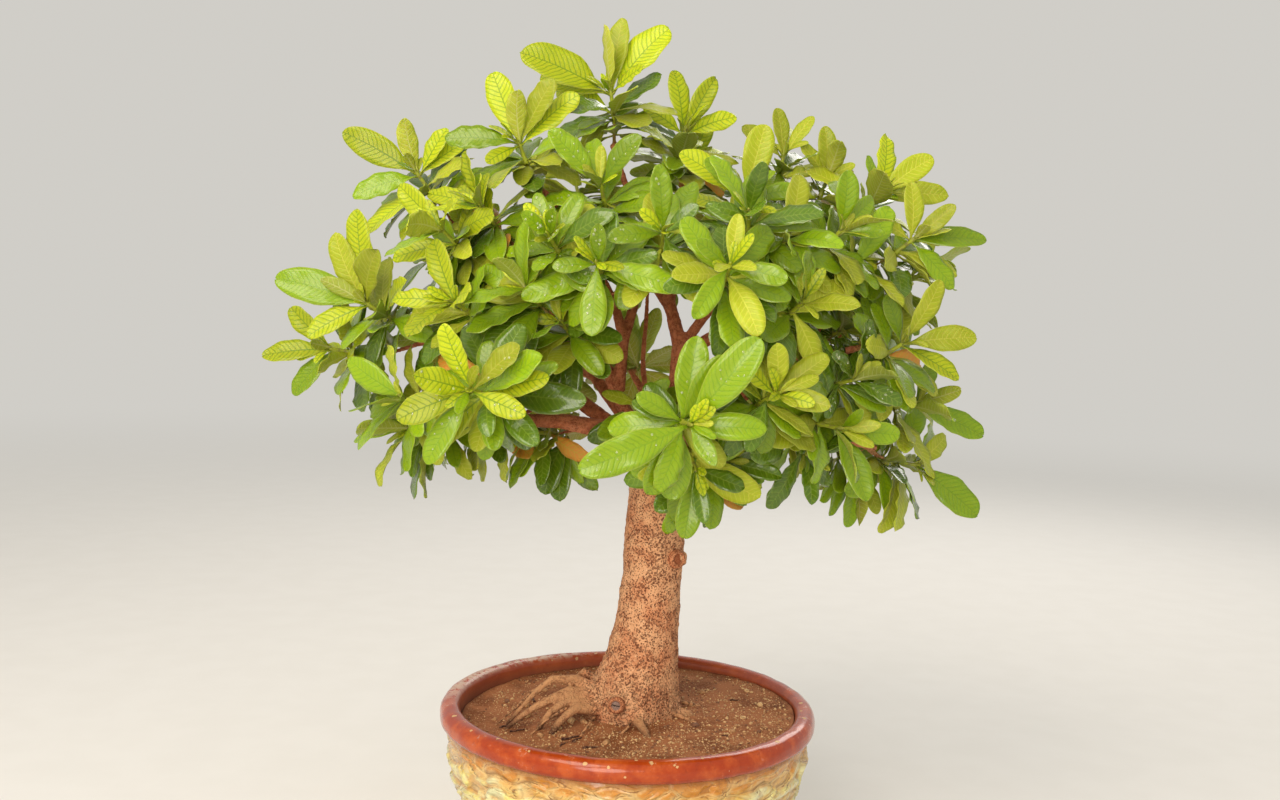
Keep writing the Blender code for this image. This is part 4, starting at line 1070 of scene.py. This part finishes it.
# The bowl's outline as radius and height in mm: the body, the rolled rim above BODY_TOP, and the inside. Then
# its drain holes, its levels in metres, how far out its inside reaches, and the steps of its outline in mm
BODY_OUTLINE = (
    (0, 0), (60, 0), (104, 0), (108, 3), (116, 11), (124, 21), (135, 36), (145, 51), (154, 68), (161, 84),
    (166, 99), (169, 112), (171, 126), (171.5, 138), (171, 145), (169.4, 147.6),
)
RIM_OUTLINE = (
    (169.4, 148.4), (172.6, 148.8), (175.2, 150.6), (176.4, 153.6), (176.5, 158), (175.7, 162),
    (173.6, 165.4), (170.4, 167.4), (166, 168), (161.8, 167.2), (158.8, 164), (158, 158), (157.6, 146),
    (157.2, 128),
)
INSIDE_OUTLINE = ((157, 116), (140, 60), (104, 14), (0, 14))
DRAIN_RADIUS, DRAIN_DISTANCE, DRAIN_TURNS = 0.007, 0.055, (30, 150, 270)
BODY_TOP, FOOT_TOP, FLOOR_TOP = 0.1475, 0.004, 0.012
INSIDE_REACH = 0.16
BOWL_STEP, RIM_STEP, INSIDE_STEP = 2.4, 4.0, 30.0


def fine_outline(points, step):
    """Puts points between those that are further apart than step, all in mm."""
    fine = [points[0]]
    for start, end in zip(points, points[1:]):
        pieces = max(1, math.ceil(math.dist(start, end) / step))
        for index in range(1, pieces + 1):
            share = index / pieces
            fine.append(tuple(a + (b - a) * share for a, b in zip(start, end)))
    return fine


def rock_seat(place):
    """The place on the body as (around, around, course): one unit is about one flat stone of the relief."""
    turn = math.atan2(place.y, place.x)
    shove = noise_vector(place * 34, 0, 7, 13) * 0.8
    return Vector((math.cos(turn) * 3.8, math.sin(turn) * 3.8, place.z * 1000 / 12)) + shove


def rock_relief(place):
    """Cast relief, 0 to 1: flat stones in ragged courses, each tilted its own way, and cracks between."""
    seat = rock_seat(place)
    reaches, centres = noise.voronoi(seat)
    off = seat - centres[0]
    swing = 0.5 * off.dot(Vector((-place.y, place.x, 0)).normalized()) * (noise.cell(centres[0] * 3.1) - 0.5)
    crack = smooth(0.0, 0.16, reaches[1] - reaches[0])
    rough = noise.fractal(place * 70, 0.9, 2.0, 3)
    ledges = 0.5 + 0.5 * math.sin(place.z * 460 + 2.6 * noise.noise(place * 30))
    stone = 0.36 + 0.2 * noise.cell(centres[0] * 7.3) + 0.5 * off.z + swing + 0.16 * rough + 0.1 * ledges
    return max(0.0, min(1.0, stone * (0.45 + 0.55 * crack)))


def glaze_finish(settings):
    """Thick glaze over a cast relief: cream where it is high, ochre in the hollows and under the rim."""
    finish, add, shader = new_finish("cream_and_ochre_glaze", 0.3, 0.6, 0.12)
    place = object_mm(add)
    relief = add("Attribute", attribute_name="relief", gives="Fac")
    seat = add("Attribute", attribute_name="seat", gives="Vector")
    height = add("SeparateXYZ", place, gives="Z")
    clouds = add("TexNoise", place, 1 / 26, 4.0, 0.6)
    lower = add("Math SUBTRACT", height, add("Math MULTIPLY", clouds, 44.0))
    under_rim = add("MapRange", lower, 98.0, 118.0)
    hollow = add("MapRange", relief, 0.2, 0.55, 1.0, 0.0)
    patches = add("MapRange", add("TexNoise", place, 1 / 11, 5.0, 0.65), 0.5, 0.68, 0.0, 0.55)
    stain = add("Math MAXIMUM", under_rim, add("Math MAXIMUM", add("Math MULTIPLY", hollow, 0.7), patches))
    pale = add("Mix", add("MapRange", clouds, 0.42, 0.6), settings.cream, linear("#dcd9a6"))
    skin = add("Mix", stain, pale, settings.ochre)
    veins = add("MapRange", add("TexNoise", place, 1 / 5, 5.0, 0.75, None, 1.2), 0.57, 0.7, 0.0, 0.65)
    skin = add("Mix", veins, skin, linear("#ead98a"))
    fine = add("TexNoise", place, 1 / 3, 4.0, 0.6)
    long_edge = add("TexVoronoi DISTANCE_TO_EDGE", seat, 1.0)
    short_edge = add("TexVoronoi DISTANCE_TO_EDGE", seat, 2.1)
    open_here = add("MapRange", add("TexNoise", place, 1 / 12, 4.0, 0.6), 0.44, 0.58)
    wide = add("Math MULTIPLY_ADD", fine, 0.06, -0.015)
    long_crack = add("MapRange", add("Math SUBTRACT", long_edge, wide), -0.01, 0.012, 1.0, 0.0)
    long_crack = add("Math MULTIPLY", long_crack, add("Math MULTIPLY_ADD", open_here, 0.7, 0.3))
    short_crack = add("Math MULTIPLY", add("MapRange", short_edge, 0.0, 0.04, 0.7, 0.0), open_here)
    hairline = add("Math MAXIMUM", long_crack, short_crack)
    # The cracks are partly dark glaze and partly painted shade: they are painted dark where the ledges would
    # shade them.
    crack = add("Math MAXIMUM", add("MapRange", relief, 0.02, 0.12, 0.6, 0.0), hairline)
    skin = add("Mix", add("Math MULTIPLY", crack, 0.8), skin, settings.crack)
    # Painted highlight: the stones are painted paler just beside the cracks, as if their edges caught the
    # light.
    edge = add("Math SUBTRACT", add("MapRange", long_edge, 0.04, 0.14, 1.0, 0.0), crack)
    skin = add("Mix", add("Math MULTIPLY", edge, 0.25), skin, linear("#f2e6a4"))
    # Painted shade: a dark brown band right under the rim, where the rim overhangs the body.
    lip = add("MapRange", add("Math MULTIPLY_ADD", fine, 8.0, height), 144.0, 152.0, 0.0, 0.7)
    skin = add("Mix", lip, skin, linear("#9a5a1c"))
    plug(shader.inputs["Base Color"], skin)
    plug(shader.inputs["Roughness"], add("Math MULTIPLY_ADD", fine, 0.3, 0.18))
    dome = add("MapRange", long_edge, 0.0, 0.16)
    small_dome = add("Math MULTIPLY", add("MapRange", short_edge, 0.0, 0.14), open_here)
    chisel = add("TexNoise", place, 1 / 13, 4.0, 0.5)
    high = add("Math MULTIPLY_ADD", small_dome, 0.4, add("Math MULTIPLY_ADD", chisel, 1.6, dome))
    plug(shader.inputs["Normal"], add("Bump", 0.75, 1.5 * MM, None, high))
    return finish


def rim_finish(settings):
    """Iron-red glaze on clay, glossy, thin and worn at its edge, with small chips and a little dried lime."""
    finish, add, shader = new_finish("iron_red_glaze", 0.2, 0.3, 0.06, specular=0.3)
    place = object_mm(add)
    height = add("SeparateXYZ", place, gives="Z")
    clouds = add("TexNoise", place, 1 / 18, 4.0, 0.6)
    skin = add("Mix", add("MapRange", clouds, 0.4, 0.66), settings.rim, settings.rim_light)
    runs = add("TexNoise", place, 1 / 6, 4.0, 0.7)
    skin = add("Mix", add("MapRange", runs, 0.5, 0.72, 0.0, 0.6), skin, linear("#862c0a"))
    # Painted shade: the underside of the rolled rim is painted darker, most where it meets the body.
    foot = add("MapRange", height, 148.0, 153.5, 0.6, 0.0)
    skin = add("Mix", foot, skin, linear("#6f2a12"))
    cells = add("TexVoronoi", place, 1 / 11)
    wander = add("TexNoise", place, 1 / 2.2, 3.0, 0.7)
    ragged = add("Math MULTIPLY_ADD", wander, 0.24, cells)
    chance = add("SeparateXYZ", cells.node.outputs["Color"])
    worn = add("MapRange", height, 160.0, 167.0, 0.1, 0.22)
    limit = add("Math ADD", worn, add("MapRange", chance, 0.35, 0.95, -0.06, 0.12))
    chip = add("MapRange", add("Math SUBTRACT", ragged, limit), -0.02, 0.02, 1.0, 0.0)
    flat = add("VectorMath MULTIPLY", place, (1, 1, 0))
    reach = add("VectorMath LENGTH", flat)
    inner = add("MapRange", reach, 160.0, 164.0, 1.0, 0.0)
    skin = add("Mix", add("Math MULTIPLY", chip, 0.85), skin, settings.chip)
    spread = add("TexNoise", place, 1 / 9, 6.0, 0.75)
    lime = add("MapRange", spread, 0.6, 0.7, 0.0, 0.55)
    top = add("MapRange", height, 163.0, 167.5)
    lime = add("Math MULTIPLY", lime, add("Math MULTIPLY_ADD", top, 0.75, 0.25))
    back_left = add("VectorMath DOT_PRODUCT", place, (-0.8, 0.6, 0))
    crust = add("MapRange", back_left, 110.0, 150.0)
    crust = add("Math MULTIPLY", crust, add("MapRange", spread, 0.42, 0.56, 0.0, 0.8))
    lime = add("Math MAXIMUM", lime, add("Math MULTIPLY", crust, top))
    skin = add("Mix", lime, skin, linear("#cdb9a6"))
    # Painted shade: the inner wall of the rim is painted dark brown, more so deeper inside the bowl.
    painted_inner_shade = add("Math MULTIPLY", inner, add("MapRange", height, 150.0, 166.0, 0.85, 0.35))
    skin = add("Mix", painted_inner_shade, skin, linear("#7b4a33"))
    plug(shader.inputs["Base Color"], skin)
    dull = add("Math MAXIMUM", add("Math MAXIMUM", chip, lime), painted_inner_shade)
    plug(shader.inputs["Roughness"], add("Math MULTIPLY_ADD", dull, 0.5, 0.2))
    high = add("Math MULTIPLY_ADD", chip, -1.0, add("Math MULTIPLY", runs, 0.5))
    plug(shader.inputs["Normal"], add("Bump", 0.7, 0.6 * MM, None, high))
    return finish


def drilled(bm):
    """The bowl with its drain holes cut through the floor."""
    drills = bmesh.new()
    for turn in DRAIN_TURNS:
        place = Matrix.Rotation(math.radians(turn), 4, "Z") @ Matrix.Translation((DRAIN_DISTANCE, 0, 0))
        bmesh.ops.create_cone(
            drills, cap_ends=True, segments=24, radius1=DRAIN_RADIUS, radius2=DRAIN_RADIUS, depth=0.06,
            matrix=place,
        )
    blocks = []
    for name, shape in (("bowl_blank", bm), ("drills", drills)):
        mesh = bpy.data.meshes.new(name)
        shape.to_mesh(mesh)
        shape.free()
        blocks.append(bpy.data.objects.new(name, mesh))
        bpy.context.scene.collection.objects.link(blocks[-1])
    cut = blocks[0].modifiers.new("drain", "BOOLEAN")
    cut.operation, cut.object, cut.solver = "DIFFERENCE", blocks[1], "EXACT"
    bpy.context.view_layer.update()
    done = bpy.data.meshes.new_from_object(blocks[0].evaluated_get(bpy.context.evaluated_depsgraph_get()))
    for block in blocks:
        bpy.data.objects.remove(block)
    result = bmesh.new()
    result.from_mesh(done)
    return result


class BONSAI_OT_bowl(bpy.types.Operator):
    """Turn the bowl with its rolled rim, and raise the rock-like relief on its body"""

    bl_idname = "bonsai.bowl"
    bl_label = "Bowl"

    def execute(self, context):
        settings = context.scene.bonsai.bowl
        parts = (BODY_OUTLINE, BOWL_STEP), (RIM_OUTLINE, RIM_STEP), (INSIDE_OUTLINE, INSIDE_STEP)
        outline = [point for part, step in parts for point in fine_outline(part, step)]
        bm = bmesh.new()
        turn_outline(bm, [(radius * MM, 0, height * MM) for radius, height in outline], settings.steps)
        weld(bm)
        bm = drilled(bm)
        bm.normal_update()
        height = bm.verts.layers.float.new("relief")
        seat = bm.verts.layers.float_vector.new("seat")
        for vert in bm.verts:
            reach = math.hypot(vert.co.x, vert.co.y)
            outside = smooth(0.1, 0.112, reach) * smooth(FOOT_TOP, FLOOR_TOP, vert.co.z)
            outside *= vert.normal.xy.dot(vert.co.xy) > 0
            body = outside * (1 - smooth(0.141, BODY_TOP, vert.co.z))
            vert[height] = rock_relief(vert.co) if body else 0.6
            vert[seat] = rock_seat(vert.co)
            if body:
                vert.co += vert.normal * body * (vert[height] - 0.75) * settings.relief
            elif vert.co.z > BODY_TOP:
                vert.co += vert.normal * 0.0005 * noise.noise(vert.co * 55)
        for face in bm.faces:
            middle = face.calc_center_median()
            faces_in = face.normal.xy.dot(middle.xy) < 0
            inside = faces_in and middle.z > FLOOR_TOP and math.hypot(*middle.xy) < INSIDE_REACH
            face.material_index = 1 if middle.z > BODY_TOP or inside else 0
        finishes = [glaze_finish(settings), rim_finish(settings)]
        new_piece("glazed_bowl", bm, finishes, ["bowl"])
        return {"FINISHED"}


# The soil: its side as radius and height in mm, how far it reaches, how its top slopes up to the right and
# swells round the trunk, its rings and steps, and how far out grit lies
SOIL_SIDE = ((103.4, 14.5), (139.4, 60.5), (156.2, 116.5))
SOIL_REACH = 0.1572
SOIL_SLOPE, SOIL_MOUND = 0.04, 0.0045
SOIL_RINGS, SOIL_STEPS = 56, 220
SOWN_REACH = 0.154


def soil_top(x, y, fine=True):
    """Height of the soil: the CAD's slope, a low mound round the trunk, soft humps and crumbs."""
    away = math.hypot(x - 0.006, y)
    height = SOIL_FACE + SOIL_SLOPE * x + SOIL_MOUND * math.exp(-((away / 0.062) ** 2))
    height += 0.0011 * noise.noise(Vector((x, y, 0)) * 38)
    if fine:
        crumbs = noise.fractal(Vector((x, y, 0.3)) * 210, 0.8, 2.0, 3)
        loose = 0.35 + 0.65 * smooth(-0.2, 0.4, noise.noise(Vector((x, y, 2)) * 30))
        height += 0.0009 * loose * crumbs
    return height + 0.0018 * smooth(0.146, 0.157, math.hypot(x, y)) * (1 if x < 0.05 else 0.3)


def soil_finish(settings):
    """Dry sandy loam: brown, damp in patches, with fine pale grit pressed into it."""
    finish, add, shader = new_finish("sandy_loam", 0.92, specular=0.25)
    place = object_mm(add)
    patches = add("TexNoise", place, 1 / 34, 4.0, 0.6)
    skin = add("Mix", add("MapRange", patches, 0.4, 0.64), settings.earth, settings.damp)
    crumbs = add("TexNoise", place, 1 / 2.2, 4.0, 0.7)
    skin = add("Mix", add("MapRange", crumbs, 0.45, 0.7, 0.0, 0.55), skin, linear("#b9835a"))
    grains = add("TexVoronoi", place, 1 / 1.9)
    chance = add("SeparateXYZ", grains.node.outputs["Color"])
    sown = add("MapRange", add("TexNoise", place, 1 / 24, 3.0), 0.35, 0.65, 0.95, 0.66)
    grain = add("Math GREATER_THAN", chance, sown)
    grain = add("Math MULTIPLY", grain, add("MapRange", grains, 0.2, 0.36, 1.0, 0.0))
    skin = add("Mix", add("Math MULTIPLY", grain, 0.8), skin, settings.grit)
    plug(shader.inputs["Base Color"], skin)
    high = add("Math MULTIPLY_ADD", grain, 0.6, crumbs)
    plug(shader.inputs["Normal"], add("Bump", 0.9, 0.9 * MM, None, high))
    return finish


class BONSAI_OT_soil(bpy.types.Operator):
    """Fill the bowl with soil whose crumbs and humps stand up to the trunk"""

    bl_idname = "bonsai.soil"
    bl_label = "Soil"

    def execute(self, context):
        bm = bmesh.new()
        top = [(SOIL_REACH * math.sqrt(1 - ring / SOIL_RINGS) / MM, 0) for ring in range(SOIL_RINGS + 1)]
        outline = [(0, SOIL_SIDE[0][1]), *SOIL_SIDE, (156.6, 142), *top]
        turn_outline(bm, [(radius * MM, 0, height * MM) for radius, height in outline], SOIL_STEPS)
        for vert in bm.verts:
            if vert.co.z < 0.001:
                vert.co.z = soil_top(vert.co.x, vert.co.y)
        bmesh.ops.remove_doubles(bm, verts=bm.verts, dist=0.0002)
        bmesh.ops.recalc_face_normals(bm, faces=bm.faces)
        new_piece("garden_soil", bm, [soil_finish(context.scene.bonsai.soil)], ["soil"])
        return {"FINISHED"}


# Pebbles by the roots, after the photo: x, y and half the width in mm, and the number of the colour
PEBBLES = (
    (-94.6, -12, 4.6, 2), (-70.2, -10, 3.6, 0), (-52, -30, 4.2, 2), (-40.4, -34, 3.4, 1), (-62, -46, 3.0, 2),
    (-98, 22, 3.4, 1), (127.3, 18.3, 3.6, 2), (96, -58, 2.8, 1), (62.4, -43.7, 3.0, 0), (34, -104, 2.6, 1),
    (-18, -88, 3.2, 1), (-78, -66, 2.6, 1), (108, -20, 2.4, 2), (74, 60, 3.0, 1), (-30, 92, 3.2, 2),
    (-84, 70, 2.8, 1), (20, 118, 2.6, 0), (118, 64, 2.6, 2), (-124, -20, 2.4, 1), (-118, 34, 3.0, 0),
)
STONE_COLOURS = ("#7d5138", "#c09060", "#e0b982")
# Dry litter: x and y in mm, length in mm and turn in radians
LITTER = (
    (-50.6, -74.5, 17, 0.5), (-44, -78, 12, 0.9), (-31.7, -98.7, 12, 0.2), (-56, -90, 9, 1.1),
    (-100, -52, 14, 0.4), (-112, -40, 12, 0.8), (-66, -60, 10, 1.4), (62, -44, 7, 2.0), (30, 96, 12, 0.9),
    (-20, 112, 10, 2.4), (104, 34, 9, 0.1), (-92, 40, 12, 1.8), (88, -70, 6, 2.7),
)


def stone_finish(name, code):
    """River grit and small pebbles: dull stone with fine spots, in three tones."""
    finish, add, shader = new_finish(name, 0.75, specular=0.4)
    spots = add("TexNoise", object_mm(add), 1 / 1.6, 4.0, 0.7)
    skin = add("Mix", add("MapRange", spots, 0.4, 0.65, 0.0, 0.6), linear(code), linear("#6b4f3a"))
    plug(shader.inputs["Base Color"], skin)
    plug(shader.inputs["Normal"], add("Bump", 1.0, 0.3 * MM, None, spots))
    return finish


def lay_stone(bm, mesh, place, half, draw, tone, fineness):
    """One stone: a small sphere pushed out of round and sunk into the soil. mesh only carries it over."""
    stone = bmesh.new()
    bmesh.ops.create_icosphere(stone, subdivisions=fineness, radius=1)
    offset = Vector((draw.uniform(0, 99), draw.uniform(0, 99), 0))
    for vert in stone.verts:
        vert.co *= 1 + 0.35 * noise.noise(vert.co * 1.3 + offset)
    shape = Matrix.Diagonal((half * draw.uniform(0.75, 1.3), half * draw.uniform(0.7, 1.1), half * 0.72, 1))
    turn = Matrix.Rotation(draw.uniform(0, 6.28), 4, "Z") @ Matrix.Rotation(draw.uniform(-0.5, 0.5), 4, "X")
    bmesh.ops.transform(
        stone, matrix=Matrix.Translation(place + UP * half * 0.28) @ turn @ shape, verts=stone.verts,
    )
    for face in stone.faces:
        face.material_index = tone
    stone.to_mesh(mesh)
    stone.free()
    bm.from_mesh(mesh)


class BONSAI_OT_grit(bpy.types.Operator):
    """Scatter grains, pebbles and dry litter on the soil"""

    bl_idname = "bonsai.grit"
    bl_label = "Grit and pebbles"

    def execute(self, context):
        settings = context.scene.bonsai.soil
        draw = random.Random("grit")
        bm = bmesh.new()
        carrier = bpy.data.meshes.new("stone")
        for x, y, half, tone in PEBBLES:
            x, y = x * MM, y * MM
            lay_stone(bm, carrier, Vector((x, y, soil_top(x, y, False))), half * MM, draw, tone, 3)
        sown = 0
        while sown < settings.grains:
            turn, reach = draw.uniform(0, 2 * math.pi), SOWN_REACH * math.sqrt(draw.random())
            x, y = reach * math.cos(turn), reach * math.sin(turn)
            gritty = smooth(0.03, -0.09, y - 0.6 * x) * 0.6
            dense = smooth(-0.25, 0.35, noise.noise(Vector((x, y, 5)) * 26)) * 0.6 + 0.08 + gritty
            if draw.random() > dense:
                continue
            half = min(1.8, 0.4 + draw.expovariate(3.4)) * MM
            tone = draw.choices((0, 1, 2), (0.25, 0.33, 0.42))[0]
            lay_stone(bm, carrier, Vector((x, y, soil_top(x, y, False))), half, draw, tone, 1)
            sown += 1
        bpy.data.meshes.remove(carrier)
        finishes = [stone_finish(f"grit_{index}", code) for index, code in enumerate(STONE_COLOURS)]
        new_piece("grit_and_pebbles", bm, finishes)
        return {"FINISHED"}


def litter_finish():
    """Rotting twigs: dark brown, nearly black where wet, and paler in dry patches."""
    finish, add, shader = new_finish("dry_litter", 0.8, specular=0.3)
    grain = add("TexNoise", object_mm(add), 1 / 3, 4.0, 0.7)
    skin = add("Mix", add("MapRange", grain, 0.42, 0.66), linear("#3a2117"), linear("#7a5440"))
    plug(shader.inputs["Base Color"], skin)
    plug(shader.inputs["Normal"], add("Bump", 1.0, 0.4 * MM, None, grain))
    return finish


class BONSAI_OT_litter(bpy.types.Operator):
    """Lay dry bits of twig and root on the soil"""

    bl_idname = "bonsai.litter"
    bl_label = "Litter"

    def execute(self, context):
        draw = random.Random("litter")
        bm = bmesh.new()
        for key, (x, y, length, turn) in enumerate(LITTER):
            way = Vector((math.cos(turn), math.sin(turn), 0)) * length * MM / 2
            aside = way.cross(UP) * draw.uniform(-0.35, 0.35)
            middle = Vector((x, y, 0)) * MM
            points = smooth_route(
                [middle - way, middle - way * 0.3 + aside, middle + way * 0.3, middle + way], 0.002,
            )
            for point in points:
                point.z = soil_top(point.x, point.y, False) + 0.0007
            radius = draw.uniform(0.7, 1.5) * MM
            lay_tube(bm, points, radius, radius * 0.5, 6, 0.6, key)
        bmesh.ops.recalc_face_normals(bm, faces=bm.faces)
        new_piece("dry_litter", bm, [litter_finish()])
        return {"FINISHED"}


# Thin side roots between the modelled ones: route in mm and radius in mm at either end
ROOTLETS = (
    ([(-72, -22, 186), (-88, -20, 180), (-104, -26, 164), (-118, -30, 152), (-122, -32, 148)], 1.5, 0.6),
    ([(-56, -42, 170), (-72, -52, 163), (-86, -62, 152), (-92, -66, 148)], 1.4, 0.6),
    ([(-30, -38, 162), (-34, -54, 160), (-42, -68, 153), (-46, -76, 148)], 1.6, 0.7),
    ([(4, -46, 163), (0, -60, 159), (-10, -70, 153), (-18, -76, 148)], 1.6, 0.7),
    ([(40, -20, 164), (54, -30, 160), (70, -34, 155), (84, -42, 149)], 2.0, 0.7),
    ([(44, 6, 166), (60, 14, 161), (78, 18, 155), (92, 26, 149)], 2.2, 0.8),
    ([(24, 40, 166), (34, 58, 161), (40, 76, 154), (50, 88, 149)], 2.2, 0.8),
    ([(-16, 38, 168), (-26, 56, 162), (-30, 74, 154), (-40, 88, 149)], 2.2, 0.8),
    ([(-38, 20, 170), (-54, 34, 164), (-70, 44, 154), (-84, 54, 149)], 2.0, 0.7),
)


def root_finish(settings):
    """Dry surface root: tan skin that flakes, with dark earth in its creases."""
    finish, add, shader = new_finish("dry_root", 0.85, specular=0.3)
    grain = add("TexNoise", object_mm(add), 1 / 4, 5.0, 0.7)
    skin = add("Mix", add("MapRange", grain, 0.42, 0.62), settings.root, linear("#5b3c28"))
    plug(shader.inputs["Base Color"], skin)
    plug(shader.inputs["Normal"], add("Bump", 0.9, 0.6 * MM, None, grain))
    return finish


def smooth_route(points, step):
    """A soft line through the points, with a place about every step."""
    fine = []
    last = len(points) - 1
    for index in range(last):
        before, start, end, after = (points[max(0, min(last, index + shift))] for shift in (-1, 0, 1, 2))
        pieces = max(2, round((end - start).length / step))
        for piece in range(pieces):
            t = piece / pieces
            fine.append(
                0.5 * (2 * start + (end - before) * t + (2 * before - 5 * start + 4 * end - after) * t * t
                       + (3 * start - before - 3 * end + after) * t ** 3)
            )
    return fine + [points[-1]]


def lay_tube(bm, points, thick, thin, sides, wobble, key):
    """A round tube along the points, extruded ring by ring, that thins towards its end."""
    along = (points[1] - points[0]).normalized()
    across = along.orthogonal().normalized()
    ring = []
    for index in range(sides):
        out = Matrix.Rotation(2 * math.pi * index / sides, 3, along) @ across
        ring.append(bm.verts.new(out * thick + points[0]))
    face = bm.faces.new(ring)
    for index in range(1, len(points)):
        share = index / (len(points) - 1)
        after = points[min(index + 1, len(points) - 1)]
        way = (after - points[index - 1]).normalized()
        turn = along.rotation_difference(way).to_matrix()
        along = way
        grown = bmesh.ops.extrude_discrete_faces(bm, faces=[face])["faces"][0]
        radius = thick + (thin - thick) * share
        middle = grown.calc_center_median()
        for vert in grown.verts:
            out = (turn @ (vert.co - middle)).normalized()
            uneven = 1 + wobble * noise.noise(vert.co * 300 + Vector((key, 0, 0)))
            vert.co = points[index] + out * radius * uneven
        face = grown
    bm.faces.new(reversed(ring))


class BONSAI_OT_rootlets(bpy.types.Operator):
    """Run thin side roots from the foot of the trunk over the soil and into it"""

    bl_idname = "bonsai.rootlets"
    bl_label = "Side roots"

    def execute(self, context):
        bm = bmesh.new()
        for key, (route, thick, thin) in enumerate(ROOTLETS):
            points = smooth_route([Vector(point) * MM for point in route], 0.004)
            for index, point in enumerate(points):
                point += noise_vector(Vector((key * 7.0, index * 0.4, 0)), 0, 9, 17) * 0.0012
            lay_tube(bm, points, thick * MM, thin * MM, 8, 0.35, key)
        weld(bm)
        new_piece("side_roots", bm, [root_finish(context.scene.bonsai.bark)])
        return {"FINISHED"}


# The floor reaches far, and between these distances in mm it fades into the even light, so no edge shows
FLOOR_REACH = 60
FLOOR_FADE = (900.0, 5000.0)
CAMERA_PLACE = Vector((0.0017, -1.25, 0.5539))


class BONSAI_OT_stage(bpy.types.Operator):
    """Set the pale floor, the soft lamps and the camera at the photo's angle"""

    bl_idname = "bonsai.stage"
    bl_label = "Studio"

    def execute(self, context):
        settings = context.scene.bonsai.stage
        scene = context.scene
        bm = bmesh.new()
        bmesh.ops.create_grid(bm, x_segments=1, y_segments=1, size=FLOOR_REACH)
        mesh = bpy.data.meshes.new("studio_floor")
        bm.to_mesh(mesh)
        bm.free()
        air_colour = linear("#f4f1ea")
        finish, add, shader = new_finish("pale_paper_floor", 0.8, specular=0.0)
        place = object_mm(add)
        away = add("VectorMath LENGTH", place)
        fade = add("MapRange", away, *FLOOR_FADE)
        grain = add("TexNoise", place, 1 / 60, 3.0)
        skin = add("Mix", add("MapRange", grain, 0.3, 0.7, 0.0, 0.15), settings.floor, linear("#d9d6d0"))
        plug(shader.inputs["Base Color"], add("Mix", fade, skin, (0, 0, 0)))
        plug(shader.inputs["Emission Color"], air_colour)
        plug(shader.inputs["Emission Strength"], add("Math MULTIPLY", fade, settings.sky))
        mesh.materials.append(finish)
        floor = bpy.data.objects.new("studio_floor", mesh)
        scene.collection.objects.link(floor)

        scene.view_settings.view_transform = "Standard"
        world = bpy.data.worlds.new("studio_air")
        world.use_nodes = True
        air = world.node_tree.nodes["Background"]
        plug(air.inputs["Color"], air_colour)
        plug(air.inputs["Strength"], settings.sky)
        scene.world = world
        aim = Vector((0.01, 0, 0.5))
        lamps = (
            ("key_lamp", (-0.9, -1.3, 1.9), 1.2, settings.key, "#fff4e4"),
            ("front_lamp", (-0.5, -2.4, 0.95), 1.4, settings.fill, "#fff6ec"),
            ("back_lamp", (0.9, 2.1, 1.9), 1.6, settings.fill * 0.7, "#fffaf4"),
        )
        for name, place, size, power, code in lamps:
            light = bpy.data.lights.new(name, "AREA")
            light.shape, light.size, light.energy = "DISK", size, power
            light.color = linear(code)
            lamp = bpy.data.objects.new(name, light)
            lamp.location = place
            lamp.rotation_euler = (aim - Vector(place)).to_track_quat("-Z", "Y").to_euler()
            scene.collection.objects.link(lamp)

        camera = bpy.data.cameras.new("photo_camera")
        camera.lens, camera.sensor_width, camera.clip_start = settings.lens, SENSOR_WIDTH, 0.01
        eye = bpy.data.objects.new("photo_camera", camera)
        ahead = Vector((0, math.cos(settings.pitch), -math.sin(settings.pitch)))
        right = Vector((1, 0, 0))
        lean = Matrix.Rotation(-settings.roll, 3, ahead)
        axes = (lean @ right, lean @ right.cross(ahead), -ahead)
        eye.matrix_world = Matrix.Translation(CAMERA_PLACE) @ Matrix(axes).transposed().to_4x4()
        scene.collection.objects.link(eye)
        scene.camera = eye
        return {"FINISHED"}


OPERATORS = (
    BONSAI_OT_wood, BONSAI_OT_scars, BONSAI_OT_rootlets, BONSAI_OT_foliage, BONSAI_OT_drops, BONSAI_OT_bowl,
    BONSAI_OT_soil, BONSAI_OT_grit, BONSAI_OT_litter, BONSAI_OT_stage,
)


class BONSAI_PT_panel(bpy.types.Panel):
    """Lists the steps that dress the bonsai"""

    bl_idname = "BONSAI_PT_panel"
    bl_label = "Bonsai"
    bl_space_type = "VIEW_3D"
    bl_region_type = "UI"
    bl_category = "Bonsai"

    def draw(self, context):
        for operator in OPERATORS:
            self.layout.operator(operator.bl_idname)
        for name in ("leaves", "bark", "bowl", "soil", "stage"):
            group = getattr(context.scene.bonsai, name)
            box = self.layout.box()
            box.label(text=name.capitalize())
            for setting in group.bl_rna.properties:
                if setting.identifier not in ("rna_type", "name"):
                    box.prop(group, setting.identifier)


CLASSES = (
    BONSAI_PG_leaves, BONSAI_PG_bark, BONSAI_PG_bowl, BONSAI_PG_soil, BONSAI_PG_stage, BONSAI_PG_all,
    *OPERATORS, BONSAI_PT_panel,
)


def register():
    for kind in CLASSES:
        bpy.utils.register_class(kind)
    bpy.types.Scene.bonsai = PointerProperty(type=BONSAI_PG_all)


def unregister():
    del bpy.types.Scene.bonsai
    for kind in reversed(CLASSES):
        bpy.utils.unregister_class(kind)


def main():
    """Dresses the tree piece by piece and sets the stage."""
    register()
    bpy.ops.bonsai.wood()
    bpy.ops.bonsai.scars()
    bpy.ops.bonsai.rootlets()
    bpy.ops.bonsai.foliage()
    bpy.ops.bonsai.drops()
    bpy.ops.bonsai.bowl()
    bpy.ops.bonsai.soil()
    bpy.ops.bonsai.grit()
    bpy.ops.bonsai.litter()
    bpy.ops.bonsai.stage()


if __name__ == "__main__":
    main()
